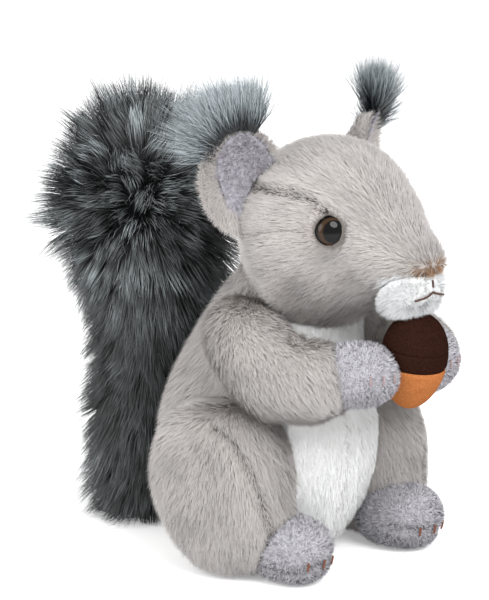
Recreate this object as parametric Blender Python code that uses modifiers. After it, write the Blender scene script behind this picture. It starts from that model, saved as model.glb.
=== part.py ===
"""A sitting plush squirrel that holds a felt acorn, sewn from stuffed fabric pieces.

Metres, +Z up. The squirrel looks along -Y and its right side is at -X.
The origin is the middle of the flat seat under the torso, on the surface that the toy sits on.
Every stuffed piece is a sphere primitive warped along a spine, and each is trimmed by the
pieces that it is sewn or pressed to, so that neighbours meet with a small seam gap.
"""

from math import cos, pi, radians, sin

import bmesh
import bpy
import numpy as np
from mathutils import Matrix, Vector
from mathutils.bvhtree import BVHTree

MM = 0.001

# Fits between neighbours
SEAM_GAP = 0.45 * MM  # a trimmed piece stays this far from the piece that trims it
STAND_OFF = 0.35 * MM  # a stitch lies this far above its fabric
SLIVER = 0.02 * MM  # points nearer than this are one
END_ROUNDING = 0.6  # how far a stuffed end bulges past its last point, in half sizes

# Torso: a pear, as (height, middle along Y, half width, half depth)
TORSO_RINGS = (
    (-7 * MM, 3 * MM, 23 * MM, 23 * MM),
    (0 * MM, 4 * MM, 27 * MM, 28 * MM),
    (10 * MM, 3 * MM, 34 * MM, 35 * MM),
    (25 * MM, 1.5 * MM, 41.5 * MM, 42.5 * MM),
    (48 * MM, -1 * MM, 45.5 * MM, 46 * MM),
    (72 * MM, -5 * MM, 39.5 * MM, 40 * MM),
    (92 * MM, -11 * MM, 32 * MM, 32.5 * MM),
    (108 * MM, -17 * MM, 27 * MM, 27 * MM),
    (120 * MM, -21 * MM, 20 * MM, 20 * MM),
)

# Belly: a white panel over the front of the torso, as (height, half width)
BELLY_OUTLINE = (
    (3 * MM, 6 * MM),
    (12 * MM, 17 * MM),
    (30 * MM, 25.5 * MM),
    (52 * MM, 27.5 * MM),
    (78 * MM, 24 * MM),
    (94 * MM, 25 * MM),
    (108 * MM, 33 * MM),
)
BELLY_THICKNESS = 2.2 * MM
BELLY_STEPS = 13
BELLY_BACK_EDGE = -9 * MM  # how far back the panel reaches at the neck

# Head: from the back of the skull to the nose, as (Y, half width, top, bottom)
HEAD_RINGS = (
    (-6 * MM, 21 * MM, 157 * MM, 112 * MM),
    (-20 * MM, 35 * MM, 170.5 * MM, 101 * MM),
    (-35 * MM, 41.5 * MM, 177 * MM, 97 * MM),
    (-48 * MM, 36 * MM, 173.5 * MM, 98.5 * MM),
    (-61 * MM, 28 * MM, 164 * MM, 103.5 * MM),
    (-74 * MM, 20.5 * MM, 150.5 * MM, 114 * MM),
    (-84 * MM, 15 * MM, 141 * MM, 122.5 * MM),
    (-90.5 * MM, 9.5 * MM, 135.5 * MM, 126.5 * MM),
)

# Muzzle: two white pads below the nose
MUZZLE_BEHIND_NOSE = 12.5 * MM  # from the head's front ring
MUZZLE_BELOW_NOSE = 10.5 * MM
MUZZLE_HALF = Vector((14.2 * MM, 14 * MM, 14 * MM))
MUZZLE_CLEFT = 1.6 * MM  # its depth
MUZZLE_CLEFT_WIDTH = 3.5 * MM
NOSE_Y, _, NOSE_TOP, NOSE_BOTTOM = HEAD_RINGS[-1]
MUZZLE_MIDDLE = Vector(
    (0, NOSE_Y + MUZZLE_BEHIND_NOSE, (NOSE_TOP + NOSE_BOTTOM) / 2 - MUZZLE_BELOW_NOSE)
)

# Eyes: plastic domes on a shank that a washer holds from inside
EYE_Y = -61 * MM
EYE_Z = 143.5 * MM
EYE_RADIUS = 6 * MM
EYE_DOME = 3.4 * MM
EYE_BACK = 1 * MM  # from the rim of the dome to the flat back
EYE_SHANK_RADIUS = 1.6 * MM
EYE_SHANK_LENGTH = 9 * MM
EYE_SINK = 1.7 * MM  # how far the rim of the dome is pulled into the fur
EYE_TURN = radians(12)  # the eye looks this much further forward than the fabric
WASHER_RADIUS = 5 * MM
WASHER_THICKNESS = 1.2 * MM
WASHER_DEPTH = 4.5 * MM  # from the rim of the dome to the washer
SHANK_CLEARANCE = 0.3 * MM

# Ears: a plush dish with a short-pile lining in it
EAR_MIDDLE = Vector((-38 * MM, -25 * MM, 160 * MM))
EAR_FACING = Vector((-0.5, -0.86, -0.08))
EAR_LEAN = radians(16)
EAR_HALF_HEIGHT = 22.5 * MM
EAR_HALF_WIDTH = 18 * MM
EAR_DEPTH = 10 * MM
EAR_THICKNESS = 5 * MM
LINING_HALF_WIDTH = 11.5 * MM
LINING_HALF_HEIGHT = 19 * MM
LINING_INWARD = 2.5 * MM
LINING_UPWARD = 1.5 * MM
LINING_THICKNESS = 2.6 * MM

# Ear tufts: a fan of long fur sewn along the ear's tip, as (distance from the tip outwards
# across the ear, upwards along it and behind it, half width, half depth)
TUFT_POINTS = (
    (4 * MM, -7 * MM, 2.5 * MM, 10 * MM, 3.5 * MM),
    (3.5 * MM, 0 * MM, 2 * MM, 14 * MM, 5 * MM),
    (2 * MM, 8 * MM, 1.5 * MM, 14.5 * MM, 6 * MM),
    (0.8 * MM, 14 * MM, 1 * MM, 12 * MM, 6 * MM),
    (0.3 * MM, 18 * MM, 1 * MM, 7 * MM, 4.5 * MM),
)

# Acorn: an egg of felt, dark cap above and tan nut below, both to one profile
ACORN_RADIUS = 13.4 * MM
ACORN_HALF_HEIGHT = 20 * MM
ACORN_SEAM = -1.5 * MM  # from the acorn's middle to the seam
ACORN_TILT = radians(9.5)
ACORN_TAPER = 0.10
ACORN_UNDER_MUZZLE = 30 * MM  # from the muzzle's middle to the acorn's
ACORN_AHEAD = 3.5 * MM
ACORN_MIDDLE = MUZZLE_MIDDLE - Vector((0, ACORN_AHEAD, ACORN_UNDER_MUZZLE))

# Hands press the acorn from both sides, as (gap to the acorn's side, distance behind its
# middle, height over its middle, radius)
HAND_POINTS = (
    (15.6 * MM, 19.5 * MM, -5 * MM, 11 * MM),
    (10.6 * MM, 13 * MM, -4.2 * MM, 12.8 * MM),
    (5.6 * MM, 6.5 * MM, -3.8 * MM, 12.6 * MM),
    (2.1 * MM, 1.5 * MM, -3.8 * MM, 10 * MM),
)
HAND_FLATNESS = 0.9
HAND_STITCH_TURN = radians(20)  # its finger stitches face this much outwards

# Arms, as (X, Y, height, radius) on the right side, and then to the hand's first point
ARM_POINTS = (
    (-26 * MM, -8 * MM, 98 * MM, 13 * MM),
    (-34 * MM, -22 * MM, 95 * MM, 17 * MM),
    (-39 * MM, -36 * MM, 88.5 * MM, 18.5 * MM),
    (-37 * MM, -48.5 * MM, 82.5 * MM, 18.5 * MM),
)
SLEEVE_RADIUS = 16 * MM

# Legs: a haunch like a thick disc across X, with its side outline about its middle
# as (degrees from the front upwards, radius)
LEG_INNER = -20.5 * MM
LEG_OUTER = -63.5 * MM
LEG_MIDDLE = Vector((0, -14.5 * MM, 34.5 * MM))
LEG_OUTLINE = (
    (0, 34.5 * MM),
    (30, 37.5 * MM),
    (55, 39.5 * MM),
    (90, 37 * MM),
    (125, 37 * MM),
    (155, 33 * MM),
    (185, 30 * MM),
    (220, 28.5 * MM),
    (250, 32 * MM),
    (280, 37.5 * MM),
    (315, 39 * MM),
    (360, 34.5 * MM),
)
LEG_EDGE = 2.6  # 2 is an elliptical edge, and more is squarer

# Feet, as (X, Y, height, half width, half height) on the right side
FOOT_POINTS = (
    (-33 * MM, -34 * MM, 12.8 * MM, 12 * MM, 11.5 * MM),
    (-33.5 * MM, -42 * MM, 13 * MM, 14.8 * MM, 13.4 * MM),
    (-34.5 * MM, -50 * MM, 13.2 * MM, 15.3 * MM, 13.8 * MM),
    (-35 * MM, -58 * MM, 12.8 * MM, 13 * MM, 11.8 * MM),
)

# Tail, as (distance behind the torso's back, height, half width, half depth): up the back,
# then out into a round plume
TORSO_BACK = max(y + depth for _, y, _, depth in TORSO_RINGS)
TAIL_POINTS = (
    (17 * MM, 2 * MM, 22 * MM, 20.5 * MM),
    (19 * MM, 18 * MM, 25 * MM, 24 * MM),
    (20 * MM, 46 * MM, 26 * MM, 25 * MM),
    (19.5 * MM, 68 * MM, 25 * MM, 24 * MM),
    (19 * MM, 90 * MM, 25.5 * MM, 25 * MM),
    (21 * MM, 112 * MM, 32.5 * MM, 32.5 * MM),
    (22.5 * MM, 136 * MM, 35.5 * MM, 35.5 * MM),
    (24 * MM, 158 * MM, 31 * MM, 30.5 * MM),
    (25 * MM, 172 * MM, 22 * MM, 21 * MM),
)

# Embroidery
THREAD_RADIUS = 0.45 * MM
PHILTRUM_TOP = 3.5 * MM  # over the muzzle's middle
PHILTRUM_BOTTOM = -1 * MM
MOUTH_HALF_WIDTH = 8.5 * MM
MOUTH_DROP = 2.6 * MM  # how far its corners lie below its middle
MOUTH_BEND = 0.8  # 1 is two straight lips, and less bends them outwards and down
TOE_STITCH_LENGTH = 3.4 * MM
TOE_SPREAD = radians(28)
TOE_STITCH_HEIGHT = 0.8  # its middle, as a share of the height of the foot's middle

TURNED_STEPS = 16
REACH = 200 * MM  # further than any part of the toy is from its middle
SIDES = ((-1, "right"), (1, "left"))


def clear_scene():
    for obj in list(bpy.data.objects):
        bpy.data.objects.remove(obj)


def new_collection(name):
    collection = bpy.data.collections.new(name)
    bpy.context.scene.collection.children.link(collection)
    return collection


def fabric(name, colour, roughness=0.9):
    material = bpy.data.materials.new(name)
    material.use_nodes = True
    shader = material.node_tree.nodes["Principled BSDF"]
    shader.inputs["Base Color"].default_value = (*colour, 1)
    shader.inputs["Roughness"].default_value = roughness
    return material


clear_scene()
PARTS = new_collection("plush_squirrel")
CUTTERS = new_collection("cutters")

TAUPE_PLUSH = fabric("taupe_plush", (0.47, 0.41, 0.37))
WHITE_PLUSH = fabric("white_plush", (0.86, 0.87, 0.85))
LILAC_PLUSH = fabric("lilac_plush", (0.43, 0.40, 0.45))
LONG_PILE = fabric("long_pile", (0.07, 0.08, 0.085))
BROWN_FELT = fabric("brown_felt", (0.05, 0.018, 0.008))
TAN_FELT = fabric("tan_felt", (0.55, 0.17, 0.04))
THREAD = fabric("thread", (0.10, 0.03, 0.015), 0.7)
EYE_PLASTIC = fabric("eye_plastic", (0.02, 0.01, 0.006), 0.08)
WASHER_PLASTIC = fabric("washer_plastic", (0.6, 0.6, 0.6), 0.5)


def add_part(name, mesh, material, collection=None):
    """One named object for one piece, shaded smooth, with its place in its mesh."""
    obj = bpy.data.objects.new(name, mesh)
    (collection or PARTS).objects.link(obj)
    mesh.materials.clear()
    mesh.materials.append(material)
    mesh.shade_smooth()
    return obj


def add_cutter(name, mesh):
    """A helper that trims pieces and is no piece itself."""
    cutter = bpy.data.objects.new(name, mesh)
    CUTTERS.objects.link(cutter)
    cutter.hide_render = True
    cutter.display_type = "WIRE"
    return cutter


def mesh_from(name, bm):
    mesh = bpy.data.meshes.new(name)
    bm.to_mesh(mesh)
    bm.free()
    return mesh


def smooth_through(places, values, at):
    """A Catmull-Rom curve through values at the given places, read at each point of `at`."""
    places, values = np.asarray(places, float), np.asarray(values, float)
    slope = np.gradient(values, places)
    i = np.clip(np.searchsorted(places, at) - 1, 0, len(places) - 2)
    step = places[i + 1] - places[i]
    t = np.clip((at - places[i]) / step, 0, 1)
    start, end = values[i], values[i + 1]
    return (
        (2 * t**3 - 3 * t**2 + 1) * start
        + (t**3 - 2 * t**2 + t) * step * slope[i]
        + (3 * t**2 - 2 * t**3) * end
        + (t**3 - t**2) * step * slope[i + 1]
    )


def unit_sphere(segments, rings):
    """A sphere primitive with its poles on Z, and each vertex's polar angle and turn."""
    bm = bmesh.new()
    bmesh.ops.create_uvsphere(bm, u_segments=segments, v_segments=rings, radius=1)
    bm.verts.ensure_lookup_table()
    points = np.array([v.co for v in bm.verts])
    polar = np.arccos(np.clip(points[:, 2], -1, 1))
    turn = np.arctan2(points[:, 1], points[:, 0])
    return bm, polar, turn


def place_vertices(bm, points):
    for vertex, point in zip(bm.verts, points):
        vertex.co = point
    bm.normal_update()
    bmesh.ops.recalc_face_normals(bm, faces=bm.faces)


def rounded(angle_part, squareness):
    """A sine or cosine bent towards a square edge."""
    return np.sign(angle_part) * np.abs(angle_part) ** (2 / squareness)


def stuffed(name, material, spine, halves, side, segments=20, rings=16):
    """A stuffed piece swept along a spine and rounded off at both ends.

    The spine runs END_ROUNDING half sizes past its first and last points, where the piece
    closes. A sphere primitive's rings go to the share (1 - cos polar) / 2 of its length, and
    their half sizes are the square roots of a smooth curve through the squares of the given
    ones. The first half size lies along `side` and the second across it.
    """
    spine, halves = np.asarray(spine, float), np.asarray(halves, float)
    for end, inner in ((0, 1), (-1, -2)):
        out = spine[end] - spine[inner]
        pole = spine[end] + out / np.linalg.norm(out) * END_ROUNDING * halves[end].min()
        spine = np.insert(spine, 0 if end == 0 else len(spine), pole, axis=0)
    halves = np.pad(halves, ((1, 1), (0, 0)))
    steps = np.linalg.norm(np.diff(spine, axis=0), axis=1)
    share = np.concatenate([[0], np.cumsum(steps)]) / steps.sum()
    bm, polar, turn = unit_sphere(segments, rings)
    at = (1 - np.cos(polar)) / 2
    middle = np.stack([smooth_through(share, c, at) for c in spine.T], 1)
    near = 0.01
    ahead = np.stack([smooth_through(share, c, np.minimum(at + near, 1)) for c in spine.T], 1)
    behind = np.stack([smooth_through(share, c, np.maximum(at - near, 0)) for c in spine.T], 1)
    tangent = ahead - behind
    tangent /= np.linalg.norm(tangent, axis=1, keepdims=True)
    across = np.asarray(side, float) - (tangent @ np.asarray(side, float))[:, None] * tangent
    across /= np.linalg.norm(across, axis=1, keepdims=True)
    over = np.cross(tangent, across)
    squares = [smooth_through(share, h**2, at) * (np.sin(polar) > 0.001) for h in halves.T]
    width, height = (np.sqrt(np.clip(s, 0, None)) for s in squares)
    points = (
        middle
        + across * (width * np.cos(turn))[:, None]
        + over * (height * np.sin(turn))[:, None]
    )
    place_vertices(bm, points)
    return add_part(name, mesh_from(name, bm), material)


def apply_modifiers(obj):
    graph = bpy.context.evaluated_depsgraph_get()
    old = obj.data
    obj.data = bpy.data.meshes.new_from_object(obj.evaluated_get(graph), depsgraph=graph)
    obj.modifiers.clear()
    bpy.data.meshes.remove(old)


def inflated(obj, by):
    """A cutter: a copy of a piece, grown by a distance along its own normals."""
    mesh = obj.data.copy()
    normals = np.array([v.vector for v in mesh.vertex_normals])
    points = np.array([v.co for v in mesh.vertices]) + by * normals
    mesh.vertices.foreach_set("co", points.astype(np.float32).ravel())
    mesh.update()
    return add_cutter(f"{obj.name}_grown", mesh)


def combine(obj, other, operation):
    """Applies one exact Boolean to a piece, and closes up the slivers that it leaves."""
    boolean = obj.modifiers.new(operation.lower(), "BOOLEAN")
    boolean.operation = operation
    boolean.object = other
    apply_modifiers(obj)
    bm = bmesh.new()
    bm.from_mesh(obj.data)
    bmesh.ops.remove_doubles(bm, verts=bm.verts, dist=SLIVER)
    bmesh.ops.dissolve_degenerate(bm, edges=bm.edges, dist=SLIVER)
    bm.to_mesh(obj.data)
    bm.free()


def keep_largest(obj):
    """Drops the slivers that a trim leaves on the far side of a neighbour."""
    bm = bmesh.new()
    bm.from_mesh(obj.data)
    bm.verts.ensure_lookup_table()
    left, groups = set(bm.verts), []
    while left:
        group, edge = set(), [left.pop()]
        while edge:
            vertex = edge.pop()
            group.add(vertex)
            near = {e.other_vert(vertex) for e in vertex.link_edges} & left
            left -= near
            edge += near
        groups.append(group)
    groups.sort(key=len)
    for group in groups[:-1]:
        bmesh.ops.delete(bm, geom=list(group), context="VERTS")
    bm.to_mesh(obj.data)
    bm.free()


def boxes_meet(a, b):
    """Whether the bounding boxes of two pieces overlap."""
    low_a, low_b = (np.min([v.co for v in o.data.vertices], axis=0) for o in (a, b))
    high_a, high_b = (np.max([v.co for v in o.data.vertices], axis=0) for o in (a, b))
    return bool(np.all(low_a < high_b) and np.all(low_b < high_a))


def lay(obj):
    """Lays a piece down: it is cut back, with the seam gap, from every piece laid before it."""
    grown = inflated(obj, SEAM_GAP)
    for earlier in list(CUTTERS.objects):
        if earlier is not grown and boxes_meet(obj, earlier):
            combine(obj, earlier, "DIFFERENCE")
    keep_largest(obj)
    return obj


def box_cutter(name, low, high):
    bm = bmesh.new()
    bmesh.ops.create_cube(bm, size=1)
    low, high = Vector(low), Vector(high)
    size = high - low
    bmesh.ops.scale(bm, vec=size, verts=bm.verts)
    bmesh.ops.translate(bm, vec=(low + high) / 2, verts=bm.verts)
    return add_cutter(name, mesh_from(name, bm))


def sit_on_floor(obj):
    """Cuts off what is under the floor, which leaves a flat face to rest on."""
    below = box_cutter("below_floor", (-REACH, -REACH, -REACH), (REACH, REACH, 0))
    combine(obj, below, "DIFFERENCE")
    bpy.data.objects.remove(below)


def mirrored(points, side):
    """The right side's points for side -1, and their mirror image for side 1."""
    flip = Vector((-side, 1, 1))
    return [tuple(c * f for c, f in zip(p[:3], flip)) + tuple(p[3:]) for p in points]


def surface_of(*objects):
    """A search tree over the surface of some pieces together."""
    points, faces = [], []
    for obj in objects:
        start = len(points)
        points += [v.co.copy() for v in obj.data.vertices]
        faces += [[start + i for i in p.vertices] for p in obj.data.polygons]
    return BVHTree.FromPolygons(points, faces)


def seen_from(tree, origin, direction):
    """The first place and normal that a ray meets."""
    place, normal, _, _ = tree.ray_cast(Vector(origin), Vector(direction).normalized())
    return place, normal


def thread_along(name, points):
    """A stitch: a round thread with closed ends through a few points."""
    curve = bpy.data.curves.new(name, "CURVE")
    curve.dimensions = "3D"
    curve.bevel_depth = THREAD_RADIUS
    curve.bevel_resolution = 1
    curve.use_fill_caps = True
    spline = curve.splines.new("POLY")
    spline.points.add(len(points) - 1)
    for target, point in zip(spline.points, points):
        target.co = (*point, 1)
    obj = bpy.data.objects.new(name, curve)
    PARTS.objects.link(obj)
    curve.materials.append(THREAD)
    return obj


def make_torso():
    torso = stuffed(
        "torso",
        TAUPE_PLUSH,
        [(0, y, z) for z, y, _, _ in TORSO_RINGS],
        [(w, d) for _, _, w, d in TORSO_RINGS],
        side=(1, 0, 0),
        segments=20,
        rings=16,
    )
    sit_on_floor(torso)
    return torso


def make_head():
    """The skull and snout, swept from the back to the nose."""
    return stuffed(
        "head",
        TAUPE_PLUSH,
        [(0, y, (top + bottom) / 2) for y, _, top, bottom in HEAD_RINGS],
        [(w, (top - bottom) / 2) for _, w, top, bottom in HEAD_RINGS],
        side=(1, 0, 0),
        segments=22,
        rings=18,
    )


def make_muzzle():
    """An ellipsoid with a shallow upright cleft between its two pads."""
    bm, _, _ = unit_sphere(18, 12)
    points = np.array([v.co for v in bm.verts]) * np.array(MUZZLE_HALF)
    cleft = MUZZLE_CLEFT * np.exp(-((points[:, 0] / MUZZLE_CLEFT_WIDTH) ** 2))
    front = np.clip(-points[:, 1] / MUZZLE_HALF.y, 0, 1)
    points[:, 1] += cleft * front
    place_vertices(bm, points + np.array(MUZZLE_MIDDLE))
    return add_part("muzzle", mesh_from("muzzle", bm), WHITE_PLUSH)


def make_belly(torso):
    """The white front panel: a shell over the torso, cut to the panel's outline."""
    outer = inflated(torso, SEAM_GAP + BELLY_THICKNESS)
    belly = add_part("belly_panel", outer.data.copy(), WHITE_PLUSH)
    bpy.data.objects.remove(outer)
    heights = np.linspace(BELLY_OUTLINE[0][0], BELLY_OUTLINE[-1][0], BELLY_STEPS)
    levels = [h for h, _ in BELLY_OUTLINE]
    half = smooth_through(levels, [w for _, w in BELLY_OUTLINE], heights)
    outline = [(w, h) for w, h in zip(half, heights)]
    outline += [(-w, h) for w, h in zip(half[::-1], heights[::-1])]
    bm = bmesh.new()
    corners = [bm.verts.new((x, -REACH, z)) for x, z in outline]
    face = bm.faces.new(corners)
    swept = bmesh.ops.extrude_face_region(bm, geom=[face])["geom"]
    moved = [g for g in swept if isinstance(g, bmesh.types.BMVert)]
    bmesh.ops.translate(bm, vec=(0, REACH + BELLY_BACK_EDGE, 0), verts=moved)
    bmesh.ops.recalc_face_normals(bm, faces=bm.faces)
    keep = add_cutter("belly_outline", mesh_from("belly_outline", bm))
    combine(belly, keep, "INTERSECT")
    bpy.data.objects.remove(keep)
    return belly


def eye_frame(head, side):
    """Where the eye's axis meets the head, and the way the eye looks."""
    tree = surface_of(head)
    place, normal = seen_from(tree, (side * REACH, EYE_Y, EYE_Z), (-side, 0, 0))
    turn = Matrix.Rotation(-side * EYE_TURN, 3, "Z")
    return place - normal * EYE_SINK, (turn @ normal).normalized()


def turned(name, material, profile, place, facing, collection=None):
    """A turned piece: (radius, height) from the outer top downwards, spun with a Screw modifier."""
    bm = bmesh.new()
    line = [bm.verts.new((r, 0, h)) for r, h in profile]
    for a, b in zip(line, line[1:]):
        bm.edges.new((a, b))
    obj = add_part(name, mesh_from(name, bm), material, collection)
    screw = obj.modifiers.new("turn", "SCREW")
    screw.steps = screw.render_steps = TURNED_STEPS
    screw.use_merge_vertices = True
    screw.merge_threshold = SLIVER
    screw.use_smooth_shade = True
    apply_modifiers(obj)
    turn = Vector(facing).to_track_quat("Z", "Y").to_matrix().to_4x4()
    obj.data.transform(Matrix.Translation(place) @ turn)
    bm = bmesh.new()
    bm.from_mesh(obj.data)
    bmesh.ops.remove_doubles(bm, verts=bm.verts, dist=SLIVER)
    bmesh.ops.recalc_face_normals(bm, faces=bm.faces)
    bm.to_mesh(obj.data)
    bm.free()
    return obj


def eye_profile():
    """Dome, back and shank, as (radius, height along the eye's axis)."""
    dome = [(EYE_RADIUS * sin(a), EYE_DOME * cos(a)) for a in np.linspace(0, pi / 2, 7)]
    back = [(EYE_RADIUS, -EYE_BACK), (EYE_SHANK_RADIUS, -EYE_BACK)]
    return dome + back + [(EYE_SHANK_RADIUS, -EYE_SHANK_LENGTH), (0, -EYE_SHANK_LENGTH)]


def washer_profile():
    inner = EYE_SHANK_RADIUS + SHANK_CLEARANCE
    top, low = -WASHER_DEPTH, -WASHER_DEPTH - WASHER_THICKNESS
    return [(inner, top), (WASHER_RADIUS, top), (WASHER_RADIUS, low), (inner, low), (inner, top)]


def socket_profile():
    """The dent for the dome, the hole for the shank and the pocket for the washer."""
    fit = SHANK_CLEARANCE
    rim, hole, pocket = EYE_RADIUS + fit, EYE_SHANK_RADIUS + fit, WASHER_RADIUS + fit
    roof, floor = -WASHER_DEPTH + fit, -EYE_SHANK_LENGTH - 2 * fit
    dome = [(rim * sin(a), (EYE_DOME + fit) * cos(a)) for a in np.linspace(0, pi / 2, 7)]
    dent = [(rim, -EYE_BACK - fit), (hole, -EYE_BACK - fit), (hole, roof)]
    return dome + dent + [(pocket, roof), (pocket, floor), (0, floor)]


def make_eye(head, side, name):
    """A dome on a shank with its washer, and the socket that they leave in the head."""
    place, facing = eye_frame(head, side)
    turned(f"eye_{name}", EYE_PLASTIC, eye_profile(), place, facing)
    turned(f"eye_washer_{name}", WASHER_PLASTIC, washer_profile(), place, facing)
    socket = turned("socket", EYE_PLASTIC, socket_profile(), place, facing, CUTTERS)
    socket.hide_render = True
    socket.display_type = "WIRE"
    combine(head, socket, "DIFFERENCE")
    bpy.data.objects.remove(socket)


def ear_axes(side):
    """The ear's middle, and its facing, upward and sideways directions."""
    facing = EAR_FACING.normalized()
    upward = (Vector((0, 0, 1)) - facing.z * facing).normalized()
    sideways = facing.cross(upward)
    lean = Matrix.Rotation(EAR_LEAN, 3, facing)
    flip = Matrix.Diagonal((-side, 1, 1))
    axes = [flip @ v for v in (facing, lean @ upward, lean @ sideways)]
    return flip @ EAR_MIDDLE, *axes


def make_dish(name, material, side, half_width, half_height, thickness, inward=0, up=0, lift=0):
    """A round pad bent into a dish: the ear's middle lies EAR_DEPTH behind the ear's rim."""
    middle, facing, upward, sideways = ear_axes(side)
    bm, _, _ = unit_sphere(18, 10)
    ball = np.array([v.co for v in bm.verts])
    wide = ball[:, 0] * half_width - inward
    tall = ball[:, 1] * half_height + up
    out = np.hypot(wide / EAR_HALF_WIDTH, tall / EAR_HALF_HEIGHT)
    bend = lift + thickness / 2 * ball[:, 2] - EAR_DEPTH * (1 - out**2)
    points = (
        np.array(middle)
        + np.outer(wide, sideways)
        + np.outer(tall, upward)
        + np.outer(bend, facing)
    )
    place_vertices(bm, points)
    return add_part(name, mesh_from(name, bm), material)


def make_ear(side, name):
    size = EAR_HALF_WIDTH, EAR_HALF_HEIGHT, EAR_THICKNESS
    lay(make_dish(f"ear_back_{name}", TAUPE_PLUSH, side, *size))
    size = LINING_HALF_WIDTH, LINING_HALF_HEIGHT, 2 * LINING_THICKNESS
    place = LINING_INWARD, LINING_UPWARD, EAR_THICKNESS / 2
    lay(make_dish(f"ear_lining_{name}", LILAC_PLUSH, side, *size, *place))
    middle, facing, upward, sideways = ear_axes(side)
    tip = middle + upward * EAR_HALF_HEIGHT
    tuft = stuffed(
        f"ear_tuft_{name}",
        LONG_PILE,
        [tip + sideways * x + upward * y - facing * z for x, y, z, _, _ in TUFT_POINTS],
        [(w, d) for _, _, _, w, d in TUFT_POINTS],
        side=sideways,
        segments=14,
        rings=10,
    )
    lay(tuft)


def hand_points(side):
    """The hand's points and radii, from the acorn that it holds."""
    beside, middle = ACORN_RADIUS, ACORN_MIDDLE
    points = [(-beside - x, middle.y + y, middle.z + z, r) for x, y, z, r in HAND_POINTS]
    return mirrored(points, side)


def make_arm(side, name):
    points = mirrored(ARM_POINTS, side)
    wrist = hand_points(side)[0]
    return stuffed(
        f"arm_{name}",
        TAUPE_PLUSH,
        [p[:3] for p in points] + [wrist[:3]],
        [(p[3], p[3]) for p in points] + [(SLEEVE_RADIUS, SLEEVE_RADIUS)],
        side=(0, 0, 1),
        segments=16,
        rings=12,
    )


def make_hand(side, name):
    points = hand_points(side)
    return stuffed(
        f"hand_{name}",
        LILAC_PLUSH,
        [p[:3] for p in points],
        [(p[3], p[3] * HAND_FLATNESS) for p in points],
        side=(0, 0, 1),
        segments=14,
        rings=10,
    )


def make_leg(side, name):
    """The haunch: its side outline, narrowed towards both faces of the disc."""
    bm, polar, turn = unit_sphere(20, 12)
    degrees, radii = zip(*LEG_OUTLINE)
    radius = smooth_through(degrees, radii, np.degrees(turn) % 360)
    across = rounded(np.cos(polar), LEG_EDGE)
    full = rounded(np.sin(polar), LEG_EDGE)
    x = (LEG_OUTER + LEG_INNER) / 2 + across * (LEG_OUTER - LEG_INNER) / 2
    y = LEG_MIDDLE.y - full * radius * np.cos(turn)
    z = LEG_MIDDLE.z + full * radius * np.sin(turn)
    place_vertices(bm, np.stack([-side * x, y, z], 1))
    leg = add_part(f"leg_{name}", mesh_from(f"leg_{name}", bm), TAUPE_PLUSH)
    sit_on_floor(leg)
    return leg


def make_foot(side, name):
    points = mirrored(FOOT_POINTS, side)
    foot = stuffed(
        f"foot_{name}",
        LILAC_PLUSH,
        [p[:3] for p in points],
        [p[3:] for p in points],
        side=(1, 0, 0),
        segments=16,
        rings=10,
    )
    sit_on_floor(foot)
    return foot


def make_tail():
    tail = stuffed(
        "tail",
        LONG_PILE,
        [(0, TORSO_BACK + y, z) for y, z, _, _ in TAIL_POINTS],
        [(w, d) for _, _, w, d in TAIL_POINTS],
        side=(1, 0, 0),
        segments=20,
        rings=18,
    )
    sit_on_floor(tail)
    return tail


def acorn_radius(height):
    """An egg: an ellipse that is narrower towards the nut's end."""
    round_part = (1 - (height / ACORN_HALF_HEIGHT) ** 2) ** 0.5
    return ACORN_RADIUS * round_part * (1 + ACORN_TAPER * height / ACORN_HALF_HEIGHT)


def make_acorn():
    """The cap above the seam and the nut below it, turned to one profile."""
    turn = Matrix.Rotation(ACORN_TILT, 3, "X")
    facing = turn @ Vector((0, 0, 1))
    top, bottom = ACORN_HALF_HEIGHT, -ACORN_HALF_HEIGHT
    half_gap = SEAM_GAP / 2
    pieces = []
    for name, material, high, low in (
        ("acorn_cap", BROWN_FELT, top, ACORN_SEAM + half_gap),
        ("acorn_nut", TAN_FELT, ACORN_SEAM - half_gap, bottom),
    ):
        start, end = np.arcsin(high / top), np.arcsin(low / top)
        heights = [top * sin(a) for a in np.linspace(start, end, 9)]
        profile = [(max(0.0, acorn_radius(h)) if abs(h) < top else 0.0, h) for h in heights]
        if name == "acorn_cap":
            profile[0] = (0, top)
            profile.append((0, low))
        else:
            profile[-1] = (0, bottom)
            profile.insert(0, (0, high))
        pieces.append(turned(name, material, profile, ACORN_MIDDLE, facing))
    return pieces


def make_mouth(muzzle, head):
    """Two threads on the muzzle: one down the cleft and one along both lips."""
    tree = surface_of(muzzle, head)
    away = THREAD_RADIUS + STAND_OFF
    ahead = Vector((0, 1, 0))

    def on_muzzle(x, z):
        place, normal = seen_from(tree, (x, -REACH, z), ahead)
        return place + normal * away

    top, bottom = (MUZZLE_MIDDLE.z + h for h in (PHILTRUM_TOP, PHILTRUM_BOTTOM))
    drop = np.linspace(top, bottom + 2 * away, 6)
    thread_along("philtrum_stitch", [on_muzzle(0, z) for z in drop])
    lips = []
    for x in np.linspace(-MOUTH_HALF_WIDTH, MOUTH_HALF_WIDTH, 15):
        lips.append(on_muzzle(x, bottom - MOUTH_DROP * (abs(x) / MOUTH_HALF_WIDTH) ** MOUTH_BEND))
    thread_along("mouth_stitch", lips)


def make_foot_stitches(foot, side, name):
    x, y, z = mirrored([FOOT_POINTS[2]], side)[0][:3]
    make_toe_stitches(foot, f"foot_{name}", (x, y, z * TOE_STITCH_HEIGHT), (0, -1, 0), (0, 0, 1))


def make_hand_stitches(hand, side, name):
    middle = hand_points(side)[2][:3]
    ahead = (side * sin(HAND_STITCH_TURN), -cos(HAND_STITCH_TURN), 0)
    make_toe_stitches(hand, f"hand_{name}", middle, ahead, (0, 0, 1))


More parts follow.
